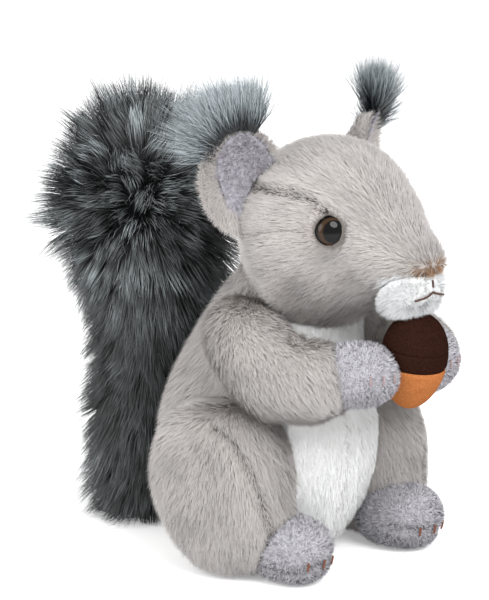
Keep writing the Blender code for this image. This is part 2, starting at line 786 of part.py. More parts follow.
def make_toe_stitches(paw, name, middle, ahead, upward):
    """Three short threads over the front of a paw, fanned to either side."""
    tree = surface_of(paw)
    away = THREAD_RADIUS + STAND_OFF
    middle, ahead, upward = Vector(middle), Vector(ahead).normalized(), Vector(upward).normalized()
    for number, fan in enumerate((-TOE_SPREAD, 0, TOE_SPREAD), 1):
        out = Matrix.Rotation(fan, 3, upward) @ ahead
        points = []
        for rise in np.linspace(-0.5, 0.5, 4) * TOE_STITCH_LENGTH:
            start = middle + upward * rise + out * REACH
            place, normal = seen_from(tree, start, -out)
            points.append(place + normal * away)
        thread_along(f"{name}_toe_stitch_{number}", points)


def build():
    cap, nut = make_acorn()
    lay(cap)
    lay(nut)
    head = lay(make_head())
    torso = make_torso()
    belly = make_belly(torso)
    lay(torso)
    lay(belly)
    muzzle = lay(make_muzzle())
    make_mouth(muzzle, head)
    lay(make_tail())
    for side, name in SIDES:
        make_ear(side, name)
        lay(make_leg(side, name))
        lay(make_arm(side, name))
        hand = lay(make_hand(side, name))
        foot = lay(make_foot(side, name))
        make_foot_stitches(foot, side, name)
        make_hand_stitches(hand, side, name)
    for side, name in SIDES:
        make_eye(head, side, name)


build()
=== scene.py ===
"""The looks of a sitting plush squirrel that holds a felt acorn.

Metres, +Z up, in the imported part's own frame: the squirrel looks along -Y and its right side is
at -X. Each stuffed piece is a sewn cover with a pile of tapered, bent hairs growing from it.
"""

from math import cos, pi, radians, sin

import bmesh
import bpy
import numpy as np
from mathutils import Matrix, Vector
from mathutils.bvhtree import BVHTree
from mathutils.kdtree import KDTree


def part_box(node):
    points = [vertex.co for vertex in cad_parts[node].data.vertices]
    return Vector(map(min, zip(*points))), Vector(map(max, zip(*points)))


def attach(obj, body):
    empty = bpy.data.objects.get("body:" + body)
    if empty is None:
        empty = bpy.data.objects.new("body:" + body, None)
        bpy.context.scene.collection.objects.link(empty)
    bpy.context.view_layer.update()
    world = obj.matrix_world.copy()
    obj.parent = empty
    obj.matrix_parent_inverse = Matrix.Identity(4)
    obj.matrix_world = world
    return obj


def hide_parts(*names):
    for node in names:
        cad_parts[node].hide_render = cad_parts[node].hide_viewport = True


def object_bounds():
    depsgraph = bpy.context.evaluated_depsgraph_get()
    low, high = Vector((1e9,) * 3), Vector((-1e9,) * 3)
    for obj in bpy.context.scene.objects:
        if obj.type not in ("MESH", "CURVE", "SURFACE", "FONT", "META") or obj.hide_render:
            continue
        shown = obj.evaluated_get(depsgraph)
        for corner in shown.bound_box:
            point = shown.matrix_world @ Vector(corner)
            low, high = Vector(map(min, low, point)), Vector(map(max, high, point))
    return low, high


MM = 0.001
SIDES = ((-1, "right"), (1, "left"))

# The camera, at the photograph's viewing angle
CAMERA_TARGET = Vector((10.3, 19.7, 98.6)) * MM
CAMERA_TURN = radians(-47)
CAMERA_RISE = radians(12)
CAMERA_DISTANCE = 1.3
CAMERA_LENS = 185.714
SENSOR_WIDTH = 36

# Light and floor
WHITE = (1, 1, 1, 1)
WORLD_LIGHT = 0.95
FLOOR_GLOW = 0.3
FLOOR_HALF = 6.0
LAMPS = (
    # name, turn, rise, distance, size, power
    ("key", radians(-20), radians(38), 1.2, 0.7, 12),
    ("fill", radians(-105), radians(22), 1.3, 0.9, 9),
)

# Covers
MERGE = 0.02 * MM
FLAT_ANGLE = radians(30)
CORNER_ANGLE = radians(50)
CREASE = 0.5
COVER_LEVELS = 2
SEAM_REACH = 7 * MM  # a cover is drawn in, and its pile is shorter, this close to a neighbour
PAINTED_GROOVE_SHADE = 0.12  # painted shade: how light a cover is painted at the bottom of a deep groove, as a share

# Seams sewn into a cover, as points on the left side in millimetres that a smooth line runs through
BROW_SEAM = ((33, -25, 158), (34, -36, 158.5), (32, -44, 158.5), (29.5, -52, 156), (26.5, -59, 150.8))
CHEEK_SEAM = ((40, -27, 139), (39.5, -36, 141), (37, -46, 143), (31.5, -55, 143.5))
THIGH_SEAM = ((57, -25, 65), (57, -33, 62), (56, -41, 54), (53, -46.5, 43), (49, -49, 31), (46, -48, 20))
SOLE_SEAM = ((49, -46, 8), (46, -55, 7.5), (40, -62, 9), (34, -65, 10.5), (25, -62, 11), (20, -53, 12.5))
BELLY_SEAM = ((0, -45, 18), (0, -49, 30), (0, -47, 50), (0, -45, 70))
SEAM_STEPS = 70
SEAM_WIDTH = 2.1 * MM
FULL_SEAM = 1.6 * MM  # a seam this deep has its full effect on the hairs
SEAM_BOTTOM = 1.3 * MM  # the hairs this close to a full seam lie along it
SEAM_TRIM = 0.82  # the share of a hair's length that is cut off at a full seam
# painted shade on the hairs in a seam: how dark at its bottom, and how wide
SEAM_PAINTED_SHADE = 0.95
SEAM_PAINTED_SHADE_WIDTH = 1.8 * MM
# painted light on the ridge beside a seam: how much paler, and how wide
RIDGE_PAINTED_LIGHT = 0.15
RIDGE_WIDTH = 2 * MM
TRIM_REACH = 5 * MM  # the hairs shorten and lean away this close to a seam or an opening
OVERHANG = 0.3 * MM  # how far a hair may reach across a seam, or stand inside an opening
OPENING_TRIM = 0.6
OPENING_PUSH = 0.9
# painted shade on the hairs round an opening: how dark at its edge, and how wide
OPENING_PAINTED_SHADE = 0.8
OPENING_PAINTED_SHADE_WIDTH = 1.3 * MM

# Hairs
REACH_SHARE = 0.03  # the hairs end inside the solids' box, widened by this share of each side
REACH_MORE = 9 * MM  # and by this much
REACH_UNEVEN = 5  # mm over which the hairs that are cut there end
FLOOR_GAP = (0.2, 2.5)  # mm between the floor and the hairs that would touch it
TILT_SPREAD = 7  # degrees
ROLL_SPREAD = 25  # degrees
CLUMP_CURVE = 1.2  # above 1, the hairs of a clump meet nearer to their tips
CLUMP_TONE = 0.5  # how far a hair takes the tone of its clump
ROOT_WIDTH = 0.8
MAP_EDGE = 0.01
MAP_HALF = 0.004  # half a hair's width in the map
PLUSH_WIDTH = 0.34 * MM
PLUSH_PER_AREA = 4.6e6  # hairs to a square metre
PLUSH_LENGTHS = (0.75, 1.15)  # shares of the pile's length
PLUSH_WIDTHS = (0.7, 1.2)
PLUSH_PATCH = 16 * MM
PLUSH_DARKEST = 0.15
LEAST_ROOM = 0.05  # hairs grow where at least this share of SEAM_REACH is free

# Places on the head and the legs; those of pairs are the left one's
THIGH_WHORL = np.array([0, -19, 58]) * MM
WHORL_REACH = 22 * MM
NOSE_MIDDLE = np.array([0, -93, 127.5]) * MM
NOSE_HALF = np.array([11, 9, 3.6]) * MM
MUZZLE_MIDDLE = np.array([0, -84, 121]) * MM
LINING_MIDDLE = np.array([36, -33, 161]) * MM

# Tail
TAIL_LINE = (
    # height, Y, half width and half depth of the core under the fur, in mm
    (8, 63, 13, 11),
    (18, 65, 16, 15),
    (44, 66, 18, 17),
    (68, 65.5, 17, 16),
    (90, 65, 16.5, 16),
    (112, 66.5, 22, 22.5),
    (136, 68.5, 25.5, 25.5),
    (158, 70, 19, 19),
)
PLUME_MIDDLE = np.array([0, 69, 132]) * MM
PLUME_FROM = 108 * MM  # the height where the plume's piece takes over from the stem's
TAIL_COMB = np.array([0.0, 0.15, -0.75])
TAIL_PER_AREA = 2.0e6
TAIL_HAIR = 19  # mm
TAIL_TO_BACK = 9 * MM  # how much longer the hairs are that face the squirrel's back
TAIL_WISPS = 0.08
TAIL_WISP_MORE = (5, 19)  # mm

# Ears and tufts, the left ones: middle, axes and half sizes of the ear's dish
EAR_MIDDLE = np.array([38, -25, 160]) * MM
EAR_UP = np.array([0.277, 0.072, 0.958])
EAR_OUT = np.array([0.820, 0.502, -0.275])
EAR_FACING = np.array([0.501, -0.862, -0.080])
EAR_HALF_HEIGHT = 22.5 * MM
EAR_HALF_WIDTH = 18 * MM
EAR_FLOW_MIDDLE = np.array([38, -25, 158]) * MM
LINING_HALF = (11.5 * MM, 19 * MM)
LINING_SHIFT = (-2.5 * MM, 1.5 * MM)
DISH_DEPTH = 10 * MM
DISH_FRONT = 2.5 * MM
TUFT_FROM, TUFT_TO = radians(-33), radians(44)
TUFT_LEAN = radians(12)
TUFT_FAN = 1.05  # the fan's angle for each angle around the ear
TUFT_FAN_SPREAD = 14  # degrees
TUFT_HAIRS = 5600
TUFT_HAIR = (14, 24)  # mm
TUFT_WISPS = 0.1
TUFT_WISP = (25, 30)  # mm: the least length, and what a whole bundle may add

# Eyes and acorn
EYE_RADIUS = 6 * MM
EYE_DOME = 3.4 * MM
EYE_AHEAD = 0.7 * MM
EYE_BACK = 1 * MM
PUPIL = 0.74  # its radius, as a share of the eye's
PUPIL_AHEAD = 0.2  # how much further the pupil reaches towards the nose
TURN_START = np.array([0.0, 0.31, 0.95])  # a direction that none of the turned solids has as its axis
ACORN_SEAM = -1.5 / 20
ACORN_TAPER = 0.10
ACORN_TUCK = (0.5 * MM, 0.9 * MM)  # depth and width of the seam between cap and nut
CAP_SEAM = 5.5 * MM
CAP_TUCK = (0.4 * MM, 0.5 * MM)

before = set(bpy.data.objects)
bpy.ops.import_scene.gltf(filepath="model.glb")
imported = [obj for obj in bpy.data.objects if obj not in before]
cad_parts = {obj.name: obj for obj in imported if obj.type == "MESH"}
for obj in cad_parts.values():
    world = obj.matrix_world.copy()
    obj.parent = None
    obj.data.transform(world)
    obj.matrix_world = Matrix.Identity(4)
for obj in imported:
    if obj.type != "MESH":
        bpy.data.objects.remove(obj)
cad_low, cad_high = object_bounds()
REACH_LOW = np.array(cad_low) - REACH_SHARE * (np.array(cad_high) - cad_low) - REACH_MORE
REACH_HIGH = np.array(cad_high) + REACH_SHARE * (np.array(cad_high) - cad_low) + REACH_MORE
dice = np.random.default_rng(2718)


# Small helpers on arrays of points


def unit(vectors):
    """Each vector divided by its length."""
    length = np.linalg.norm(vectors, axis=-1, keepdims=True)
    return vectors / np.maximum(length, 1e-12)


def smoothstep(values, low, high):
    """0 up to low, 1 from high on, and 3t^2 - 2t^3 between them."""
    t = np.clip((values - low) / (high - low), 0, 1)
    return t * t * (3 - 2 * t)


def bell(values, width):
    """exp(-(value / width)^2): 1 at zero, and near 0 beyond twice the width."""
    return np.exp(-((values / width) ** 2))


def ripples(points, size, seed, waves=10):
    """Soft patches from -1 to 1: the clipped sum of sine waves of about one length, all ways."""
    dice_here = np.random.default_rng(seed)
    directions = unit(dice_here.normal(size=(waves, 3)))
    lengths = size * dice_here.uniform(0.7, 1.5, waves)
    phases = dice_here.uniform(0, 2 * pi, waves)
    waves_here = np.sin(points @ (directions / lengths[:, None]).T * 2 * pi + phases)
    return np.clip(waves_here.sum(1) / np.sqrt(waves), -1.6, 1.6) / 1.6


def smooth_through(places, values, at):
    """A smooth curve through values at the given places, read at each point of `at`."""
    places, values = np.asarray(places, float), np.asarray(values, float)
    slope = np.gradient(values, places)
    i = np.clip(np.searchsorted(places, at) - 1, 0, len(places) - 2)
    step = places[i + 1] - places[i]
    t = np.clip((at - places[i]) / step, 0, 1)
    return (
        (2 * t**3 - 3 * t**2 + 1) * values[i]
        + (t**3 - 2 * t**2 + t) * step * slope[i]
        + (3 * t**2 - 2 * t**3) * values[i + 1]
        + (t**3 - t**2) * step * slope[i + 1]
    )


def nearest_of(points, seeds):
    """For each point, the index of the nearest seed."""
    tree = KDTree(len(seeds))
    for i, seed in enumerate(seeds):
        tree.insert(seed, i)
    tree.balance()
    return np.array([tree.find(p)[1] for p in points])


def along_surface(flow, normals):
    """The part of each flow direction that lies in the surface."""
    return unit(flow - (flow * normals).sum(1, keepdims=True) * normals)


def swing(directions, normals, angles):
    """Directions turned about their normals."""
    across = np.cross(normals, directions)
    return directions * np.cos(angles)[:, None] + across * np.sin(angles)[:, None]


def on_side_of(left, points):
    """A place or direction that is given for the left, on the side of each point."""
    return left * np.where(points[:, :1] < 0, [-1, 1, 1], [1, 1, 1])


# Materials


def new_material(name, roughness, specular=0.5):
    """A material with its node tree and its shader."""
    material = bpy.data.materials.new(name)
    material.use_nodes = True
    shader = material.node_tree.nodes["Principled BSDF"]
    shader.inputs["Roughness"].default_value = roughness
    shader.inputs["Specular IOR Level"].default_value = specular
    return material, material.node_tree, shader


def grey(value):
    return (value, value, value)


def add_node(tree, kind, inputs, **settings):
    """A node of a kind with its settings. An input gets a value, or a link if that is a socket."""
    node = tree.nodes.new(f"ShaderNode{kind}")
    for name, value in settings.items():
        setattr(node, name, value)
    for name, value in inputs.items():
        if isinstance(value, bpy.types.NodeSocket):
            tree.links.new(value, node.inputs[name])
        else:
            node.inputs[name].default_value = value
    return node


def ramp(tree, source, stops):
    """A colour ramp of (position, colour), read at a value."""
    node = add_node(tree, "ValToRGB", {0: source})
    elements = node.color_ramp.elements
    while len(elements) < len(stops):
        elements.new(0.5)
    for element, (position, colour) in zip(elements, stops):
        element.position = position
        element.color = (*colour, 1)
    return node.outputs[0]


def multiply(tree, a, b):
    """The product of two colours."""
    inputs = {0: 1, 6: a, 7: b}
    return add_node(tree, "Mix", inputs, data_type="RGBA", blend_type="MULTIPLY").outputs[2]


def noise(tree, source, scale, detail=4.0):
    """Noise from 0 to 1, with `scale` waves to a metre."""
    inputs = {"Vector": source, "Scale": scale, "Detail": detail, "Roughness": 0.6}
    return add_node(tree, "TexNoise", inputs).outputs["Fac"]


def bump(tree, shader, height, distance):
    """Relief on a shader: a height from 0 to 1, times a distance."""
    node = add_node(tree, "Bump", {"Height": height, "Distance": distance, "Strength": 1})
    tree.links.new(node.outputs[0], shader.inputs["Normal"])


def object_coordinates(tree):
    return add_node(tree, "TexCoord", {}).outputs["Object"]


def map_coordinates(tree):
    """The two values of a piece's own map, as X and Y."""
    uv = add_node(tree, "UVMap", {}, uv_map="OFBake")
    return add_node(tree, "SeparateXYZ", {0: uv.outputs[0]}).outputs


def pile_material(name, along, tones, roughness=0.7, specular=0.25):
    """Hair: colour along its length, times a tone that differs from hair to hair."""
    material, tree, shader = new_material(name, roughness, specular)
    places = map_coordinates(tree)
    length = ramp(tree, places["X"], along)
    tone = ramp(tree, places["Y"], [(p, grey(v)) for p, v in tones])
    tree.links.new(multiply(tree, length, tone), shader.inputs["Base Color"])
    return material


def cover_material(name, dark, light, size):
    """The cover under a pile: mottled cloth with a fine uneven grain, and painted shade in its grooves.
    """
    material, tree, shader = new_material(name, 0.95, 0.1)
    place = object_coordinates(tree)
    cloth = ramp(tree, noise(tree, place, 1 / size), [(0.35, dark), (0.65, light)])
    painted_groove_shade = add_node(tree, "Attribute", {}, attribute_name="painted_groove_shade")
    # painted shade: the cover is darker towards the bottom of its grooves and round the eyes
    depth = ramp(tree, painted_groove_shade.outputs["Fac"], [(0.0, grey(1.0)), (0.7, grey(PAINTED_GROOVE_SHADE))])
    tree.links.new(multiply(tree, cloth, depth), shader.inputs["Base Color"])
    bump(tree, shader, noise(tree, place, 6 / size), 0.3 * MM)
    return material


def felt_material(name, dark, light):
    """Felt: fine short fibres and small mottling."""
    material, tree, shader = new_material(name, 0.95, 0.0)
    place = object_coordinates(tree)
    fine = noise(tree, place, 1500, 3)
    broad = noise(tree, place, 180, 4)
    colour = ramp(tree, fine, [(0.3, dark), (0.7, light)])
    shade = ramp(tree, broad, [(0.3, grey(0.85)), (0.7, grey(1.0))])
    tree.links.new(multiply(tree, colour, shade), shader.inputs["Base Color"])
    bump(tree, shader, fine, 0.25 * MM)
    return material


def thread_material(name, dark, light):
    """Embroidery thread with fine fibres."""
    material, tree, shader = new_material(name, 0.6, 0.3)
    fibre = noise(tree, object_coordinates(tree), 2500, 2)
    tree.links.new(ramp(tree, fibre, [(0.3, dark), (0.7, light)]), shader.inputs["Base Color"])
    bump(tree, shader, fibre, 0.1 * MM)
    return material


def eye_material():
    """A black pupil, a brown iris and a dark rim, from the middle of the dome outwards."""
    material, tree, shader = new_material("eye_plastic", 0.04, 0.2)
    black, brown, dark = (0.0008, 0.0008, 0.0008), (0.034, 0.017, 0.0075), (0.003, 0.0015, 0.001)
    stops = [(0.0, black), (PUPIL - 0.03, black), (PUPIL + 0.03, brown), (0.88, brown), (0.93, dark)]
    colour = ramp(tree, map_coordinates(tree)["X"], stops)
    tree.links.new(colour, shader.inputs["Base Color"])
    return material


TAUPE_PILE = pile_material(
    "taupe_pile",
    [(0.0, (0.35, 0.322, 0.302)), (0.4, (0.49, 0.46, 0.442)), (1.0, (0.59, 0.566, 0.556))],
    [(0.0, 0.10), (0.15, 0.62), (0.3, 0.84), (0.5, 0.93), (1.0, 1.08)],
)
WHITE_PILE = pile_material(
    "white_pile",
    [(0.0, (0.88, 0.89, 0.885)), (0.4, (0.94, 0.95, 0.945)), (1.0, (0.97, 0.975, 0.972))],
    [(0.0, 0.84), (0.5, 0.97), (1.0, 1.02)],
)
MUZZLE_PILE = pile_material(
    "muzzle_pile",
    [(0.0, (0.62, 0.63, 0.635)), (0.5, (0.82, 0.835, 0.845)), (1.0, (0.90, 0.915, 0.925))],
    [(0.0, 0.72), (0.4, 0.95), (1.0, 1.03)],
)
LILAC_PILE = pile_material(
    "lilac_pile",
    [(0.0, (0.34, 0.33, 0.36)), (0.5, (0.53, 0.52, 0.555)), (1.0, (0.66, 0.65, 0.69))],
    [(0.0, 0.50), (0.3, 0.86), (0.5, 0.96), (1.0, 1.12)],
)
LINING_PILE = pile_material(
    "lining_pile",
    [(0.0, (0.16, 0.15, 0.17)), (0.5, (0.36, 0.345, 0.385)), (1.0, (0.56, 0.545, 0.59))],
    [(0.0, 0.30), (0.3, 0.70), (0.6, 1.0), (1.0, 1.30)],
)
NOSE_PILE = pile_material(
    "nose_pile",
    [(0.0, (0.18, 0.09, 0.045)), (0.5, (0.34, 0.20, 0.11)), (1.0, (0.52, 0.36, 0.24))],
    [(0.0, 0.7), (1.0, 1.1)],
)
TAIL_PILE = pile_material(
    "tail_pile",
    [
        (0.0, (0.004, 0.004, 0.005)),
        (0.4, (0.014, 0.015, 0.016)),
        (0.64, (0.085, 0.097, 0.098)),
        (0.84, (0.24, 0.27, 0.275)),
        (0.94, (0.10, 0.112, 0.115)),
        (1.0, (0.02, 0.022, 0.024)),
    ],
    [(0.0, 0.12), (0.5, 0.65), (0.8, 1.4), (1.0, 2.2)],
    roughness=0.5,
    specular=0.35,
)
TUFT_PILE = pile_material(
    "tuft_pile",
    [
        (0.0, (0.010, 0.011, 0.012)),
        (0.26, (0.045, 0.052, 0.057)),
        (0.54, (0.20, 0.23, 0.248)),
        (0.8, (0.42, 0.47, 0.495)),
        (1.0, (0.72, 0.78, 0.81)),
    ],
    [(0.0, 0.35), (0.5, 0.85), (1.0, 1.5)],
    roughness=0.5,
    specular=0.35,
)
TAUPE_COVER = cover_material("taupe_cover", (0.30, 0.27, 0.25), (0.38, 0.345, 0.32), 6 * MM)
WHITE_COVER = cover_material("white_cover", (0.80, 0.81, 0.80), (0.88, 0.89, 0.88), 6 * MM)
LILAC_COVER = cover_material("lilac_cover", (0.26, 0.25, 0.28), (0.40, 0.39, 0.43), 3 * MM)
DARK_COVER = cover_material("dark_cover", (0.008, 0.009, 0.010), (0.02, 0.022, 0.024), 6 * MM)


# Putting surfaces into meshes


def new_object(name, data):
    """An object at the origin, in the scene."""
    thing = bpy.data.objects.new(name, data)
    bpy.context.scene.collection.objects.link(thing)
    return thing


def add_piece(name, mesh, material):
    """One named piece at the origin, riding on the toy."""
    piece = new_object(name, mesh)
    mesh.materials.clear()
    mesh.materials.append(material)
    mesh.shade_smooth()
    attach(piece, "root")
    return piece


def grid_mesh(name, points):
    """A mesh on a grid of points: rows along the piece, and columns that close round it."""
    rows, columns = points.shape[:2]
    index = np.arange(rows * columns).reshape(rows, columns)
    index = np.concatenate([index, index[:, :1]], 1)
    faces = np.stack([index[:-1, :-1], index[:-1, 1:], index[1:, 1:], index[1:, :-1]], -1)
    mesh = bpy.data.meshes.new(name)
    mesh.from_pydata(points.reshape(-1, 3).tolist(), [], faces.reshape(-1, 4).tolist())
    bm = bmesh.new()
    bm.from_mesh(mesh)
    bmesh.ops.remove_doubles(bm, verts=bm.verts, dist=1e-7)
    bmesh.ops.recalc_face_normals(bm, faces=bm.faces)
    bm.to_mesh(mesh)
    bm.free()
    return mesh


def read(items, name, width, kind=float):
    """A property of a mesh's items, as rows of `width` numbers."""
    values = np.empty(len(items) * width, kind)
    items.foreach_get(name, values)
    return values.reshape(-1, width)


def write(items, name, values, kind=np.float32):
    items.foreach_set(name, values.astype(kind).ravel())


def arrays_of(mesh):
    """Points, point normals and triangles of a mesh."""
    mesh.calc_loop_triangles()
    points, normals = (read(mesh.vertices, name, 3) for name in ("co", "normal"))
    return points, normals, read(mesh.loop_triangles, "vertices", 3, np.int32)


def set_points(mesh, points):
    write(mesh.vertices, "co", points)
    mesh.update()


def surface_tree(mesh):
    """A mesh's surface, ready for finding its nearest point."""
    return BVHTree.FromPolygons([v.co for v in mesh.vertices], [tuple(p.vertices) for p in mesh.polygons])


# Covers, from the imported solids

TREES = {node: surface_tree(solid.data) for node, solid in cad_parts.items()}
BOXES = {node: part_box(node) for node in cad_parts}
SEWN_ONTO = {"belly_panel": ("torso",), "torso": ("arm_right", "arm_left")}
for _, name in SIDES:
    back, lining, tuft = (f"ear_{part}_{name}" for part in ("back", "lining", "tuft"))
    SEWN_ONTO[lining] = (back, tuft)
    SEWN_ONTO[back] = (lining,)
    SEWN_ONTO[f"arm_{name}"] = ("torso",)
    for paw in (f"hand_{name}", f"foot_{name}"):
        SEWN_ONTO[paw] = tuple(f"{paw}_toe_stitch_{number}" for number in (1, 2, 3))


def clearance(points, node, reach):
    """How far each point is from the nearest other solid, at most `reach`. A piece is open to
    the solids that it is sewn onto."""
    skip = SEWN_ONTO.get(node, ())
    low, high = (Vector(c) for c in BOXES[node])
    near = []
    for other, (a, b) in BOXES.items():
        apart = max(max(a[i] - high[i], low[i] - b[i]) for i in range(3))
        if other != node and other not in skip and apart < reach:
            near.append(TREES[other])
    out = np.full(len(points), reach)
    for i, point in enumerate(points):
        spot = Vector(point)
        for tree in near:
            found = tree.find_nearest(spot, reach)
            if found[3] is not None and found[3] < out[i]:
                out[i] = found[3]
    return out


def rounded_cage(node):
    """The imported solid's mesh with its corners merged, its triangles paired into four-sided
    faces, and the whole subdivided smooth with half-sharp corners."""
    bm = bmesh.new()
    bm.from_mesh(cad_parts[node].data)
    bmesh.ops.remove_doubles(bm, verts=bm.verts, dist=MERGE)
    bmesh.ops.join_triangles(
        bm, faces=bm.faces, angle_face_threshold=FLAT_ANGLE, angle_shape_threshold=CORNER_ANGLE
    )
    crease = bm.edges.layers.float.new("crease_edge")
    for edge in bm.edges:
        if len(edge.link_faces) == 2 and edge.calc_face_angle(0) > CORNER_ANGLE:
            edge[crease] = CREASE
    rough = bpy.data.meshes.new(f"{node}_cage")
    bm.to_mesh(rough)
    bm.free()
    cage = new_object(f"{node}_cage", rough)
    rounding = cage.modifiers.new("round", "SUBSURF")
    rounding.levels = rounding.render_levels = COVER_LEVELS
    graph = bpy.context.evaluated_depsgraph_get()
    mesh = bpy.data.meshes.new_from_object(cage.evaluated_get(graph), depsgraph=graph)
    bpy.data.objects.remove(cage)
    bpy.data.meshes.remove(rough)
    if "crease_edge" in mesh.attributes:
        mesh.attributes.remove(mesh.attributes["crease_edge"])
    return mesh


def make_cover(node, inset, material, fullness):
    """The sewn cover of one stuffed piece.

    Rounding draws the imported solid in, and the fullness is the share of that which each point
    moves back out. Each point then moves in by the inset times the share of SEAM_REACH that
    separates it from its neighbours, so that covers still meet at the seams.
    """
    mesh = rounded_cage(node)
    mesh.name = f"{node}_cover"
    points, normals, _ = arrays_of(mesh)
    if fullness:
        drawn_in = np.array([TREES[node].find_nearest(Vector(p))[3] for p in points])
        points = points + normals * (fullness * drawn_in)[:, None]
    free = clearance(points, node, SEAM_REACH) / SEAM_REACH
    points = points - normals * (inset * smoothstep(free, 0.1, 1))[:, None]
    set_points(mesh, points)
    cover = add_piece(f"{node}_cover", mesh, material)
    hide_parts(node)
    return cover, free


def seam_line(cover, places, sides):
    """Points along seams: a smooth line through the places in millimetres, each moved to the
    nearest point of the cover."""
    tree = surface_tree(cover.data)
    places = np.array(places) * MM
    share = np.linspace(0, 1, len(places))
    line = np.stack([smooth_through(share, c, np.linspace(0, 1, SEAM_STEPS)) for c in places.T], 1)
    both = np.concatenate([line * [side, 1, 1] for side in sides])
    return np.array([tree.find_nearest(Vector(p))[0] for p in both])


def to_seam(points, line):
    """How far each point is from the nearest point of a seam, and the direction to it."""
    gap = line[nearest_of(points, line)] - points
    return np.linalg.norm(gap, axis=1), unit(gap)


def from_opening(points, centre, axis, radius):
    """How far each point lies outside a round opening, seen along its axis, and the direction
    away from it. Points on the piece's other side count as far off."""
    out = points - centre
    behind = np.linalg.norm(out, axis=1) > 4 * radius
    out = out - (out @ axis)[:, None] * axis
    return np.where(behind, 1.0, np.linalg.norm(out, axis=1) - radius), unit(out)


def paint_groove_shade(mesh, share):
    """Keeps at each point of a cover how far it lies in a groove, from 0 to 1, which the cover's material
    paints as shade.
    """
    painted_groove_shade = mesh.attributes.get("painted_groove_shade") or mesh.attributes.new("painted_groove_shade", "FLOAT", "POINT")
    before = read(painted_groove_shade.data, "value", 1, np.float32)[:, 0]
    write(painted_groove_shade.data, "value", np.maximum(before, share))


def sink_seam(cover, line, depth):
    """Draws the cover in along a seam: by the depth times a bell of the distance from it. The
    same share, times the seam's strength, is kept as the cover's painted groove shade."""
    points, normals, _ = arrays_of(cover.data)
    far, _ = to_seam(points, line)
    share = bell(far, SEAM_WIDTH)
    set_points(cover.data, points - normals * (depth * share)[:, None])
    paint_groove_shade(cover.data, share * min(1, depth / FULL_SEAM))


# Piles of hair


def scatter(mesh, values, per_area, hold=None):
    """Random places on a mesh, even by area: points, normals and interpolated values.

    A triangle is drawn with a chance in line with its area, times what its corners hold. A
    place in it has the weights 1 - sqrt(a), sqrt(a)(1 - b) and sqrt(a) b for two even random
    numbers a and b.
    """
    points, normals, triangles = arrays_of(mesh)
    a, b, c = (points[triangles[:, i]] for i in range(3))
    area = np.linalg.norm(np.cross(b - a, c - a), axis=1) / 2
    if hold is not None:
        area = area * hold[triangles].mean(1)
    count = int(area.sum() * per_area)
    pick = dice.choice(len(area), count, p=area / area.sum())
    root, split = np.sqrt(dice.random(count)), dice.random(count)
    weights = np.stack([1 - root, root * (1 - split), root * split], 1)[..., None]
    chosen = triangles[pick]
    place = (points[chosen] * weights).sum(1)
    normal = unit((normals[chosen] * weights).sum(1))
    value = (values[chosen] * weights[..., 0]).sum(1)
    return place, normal, value


def bend(roots, normals, nap, length, lift, parts, stray, sag):
    """The hairs' paths, path[hair, point].

    A hair's direction at the share s of its length is cos(a) nap + sin(a) normal - sag s Z, and
    a goes from the first lift angle to the second. Its path adds up equal steps along that
    direction. A hair that would end outside the reach is drawn shorter.
    """
    count = len(roots)
    nap = swing(nap, normals, np.radians(dice.normal(0, stray, count)))
    tilt = np.radians(dice.normal(0, TILT_SPREAD, count))
    steps = (np.arange(parts) + 0.5) / parts
    angle = np.radians(lift[0] + (lift[1] - lift[0]) * steps)[None] + tilt[:, None]
    heading = np.cos(angle)[..., None] * nap[:, None] + np.sin(angle)[..., None] * normals[:, None]
    heading = unit(heading - np.array([0, 0, sag])[None, None] * steps[None, :, None])
    along = np.cumsum(heading * (length / parts)[:, None, None], 1)
    path = np.concatenate([roots[:, None], roots[:, None] + along], 1)
    tips = path[:, -1]
    spare = dice.uniform(0, REACH_UNEVEN, (count, 1)) * MM
    over = (tips - roots) / np.maximum(REACH_HIGH - spare - roots, 1 * MM)
    under = (tips - roots) / np.minimum(REACH_LOW + spare - roots, -1 * MM)
    fit = 1 / np.maximum(np.maximum(over, under).max(1), 1)
    return roots[:, None] + (path - roots[:, None]) * fit[:, None, None]


def gather(path, tones, size, share):
    """Draws hairs towards the nearest of the leading hairs, one in `size`: a point at the share s
    of a hair's length moves by share * s ^ CLUMP_CURVE of the way."""
    count, points = path.shape[:2]
    roots = path[:, 0]
    leaders = dice.choice(count, max(1, count // size), replace=False)
    leader = leaders[nearest_of(roots, roots[leaders])]
    pull = share * (np.arange(points) / (points - 1))[None, :, None] ** CLUMP_CURVE
    return path + (path[leader] - path) * pull, tones + CLUMP_TONE * (tones[leader] - tones)


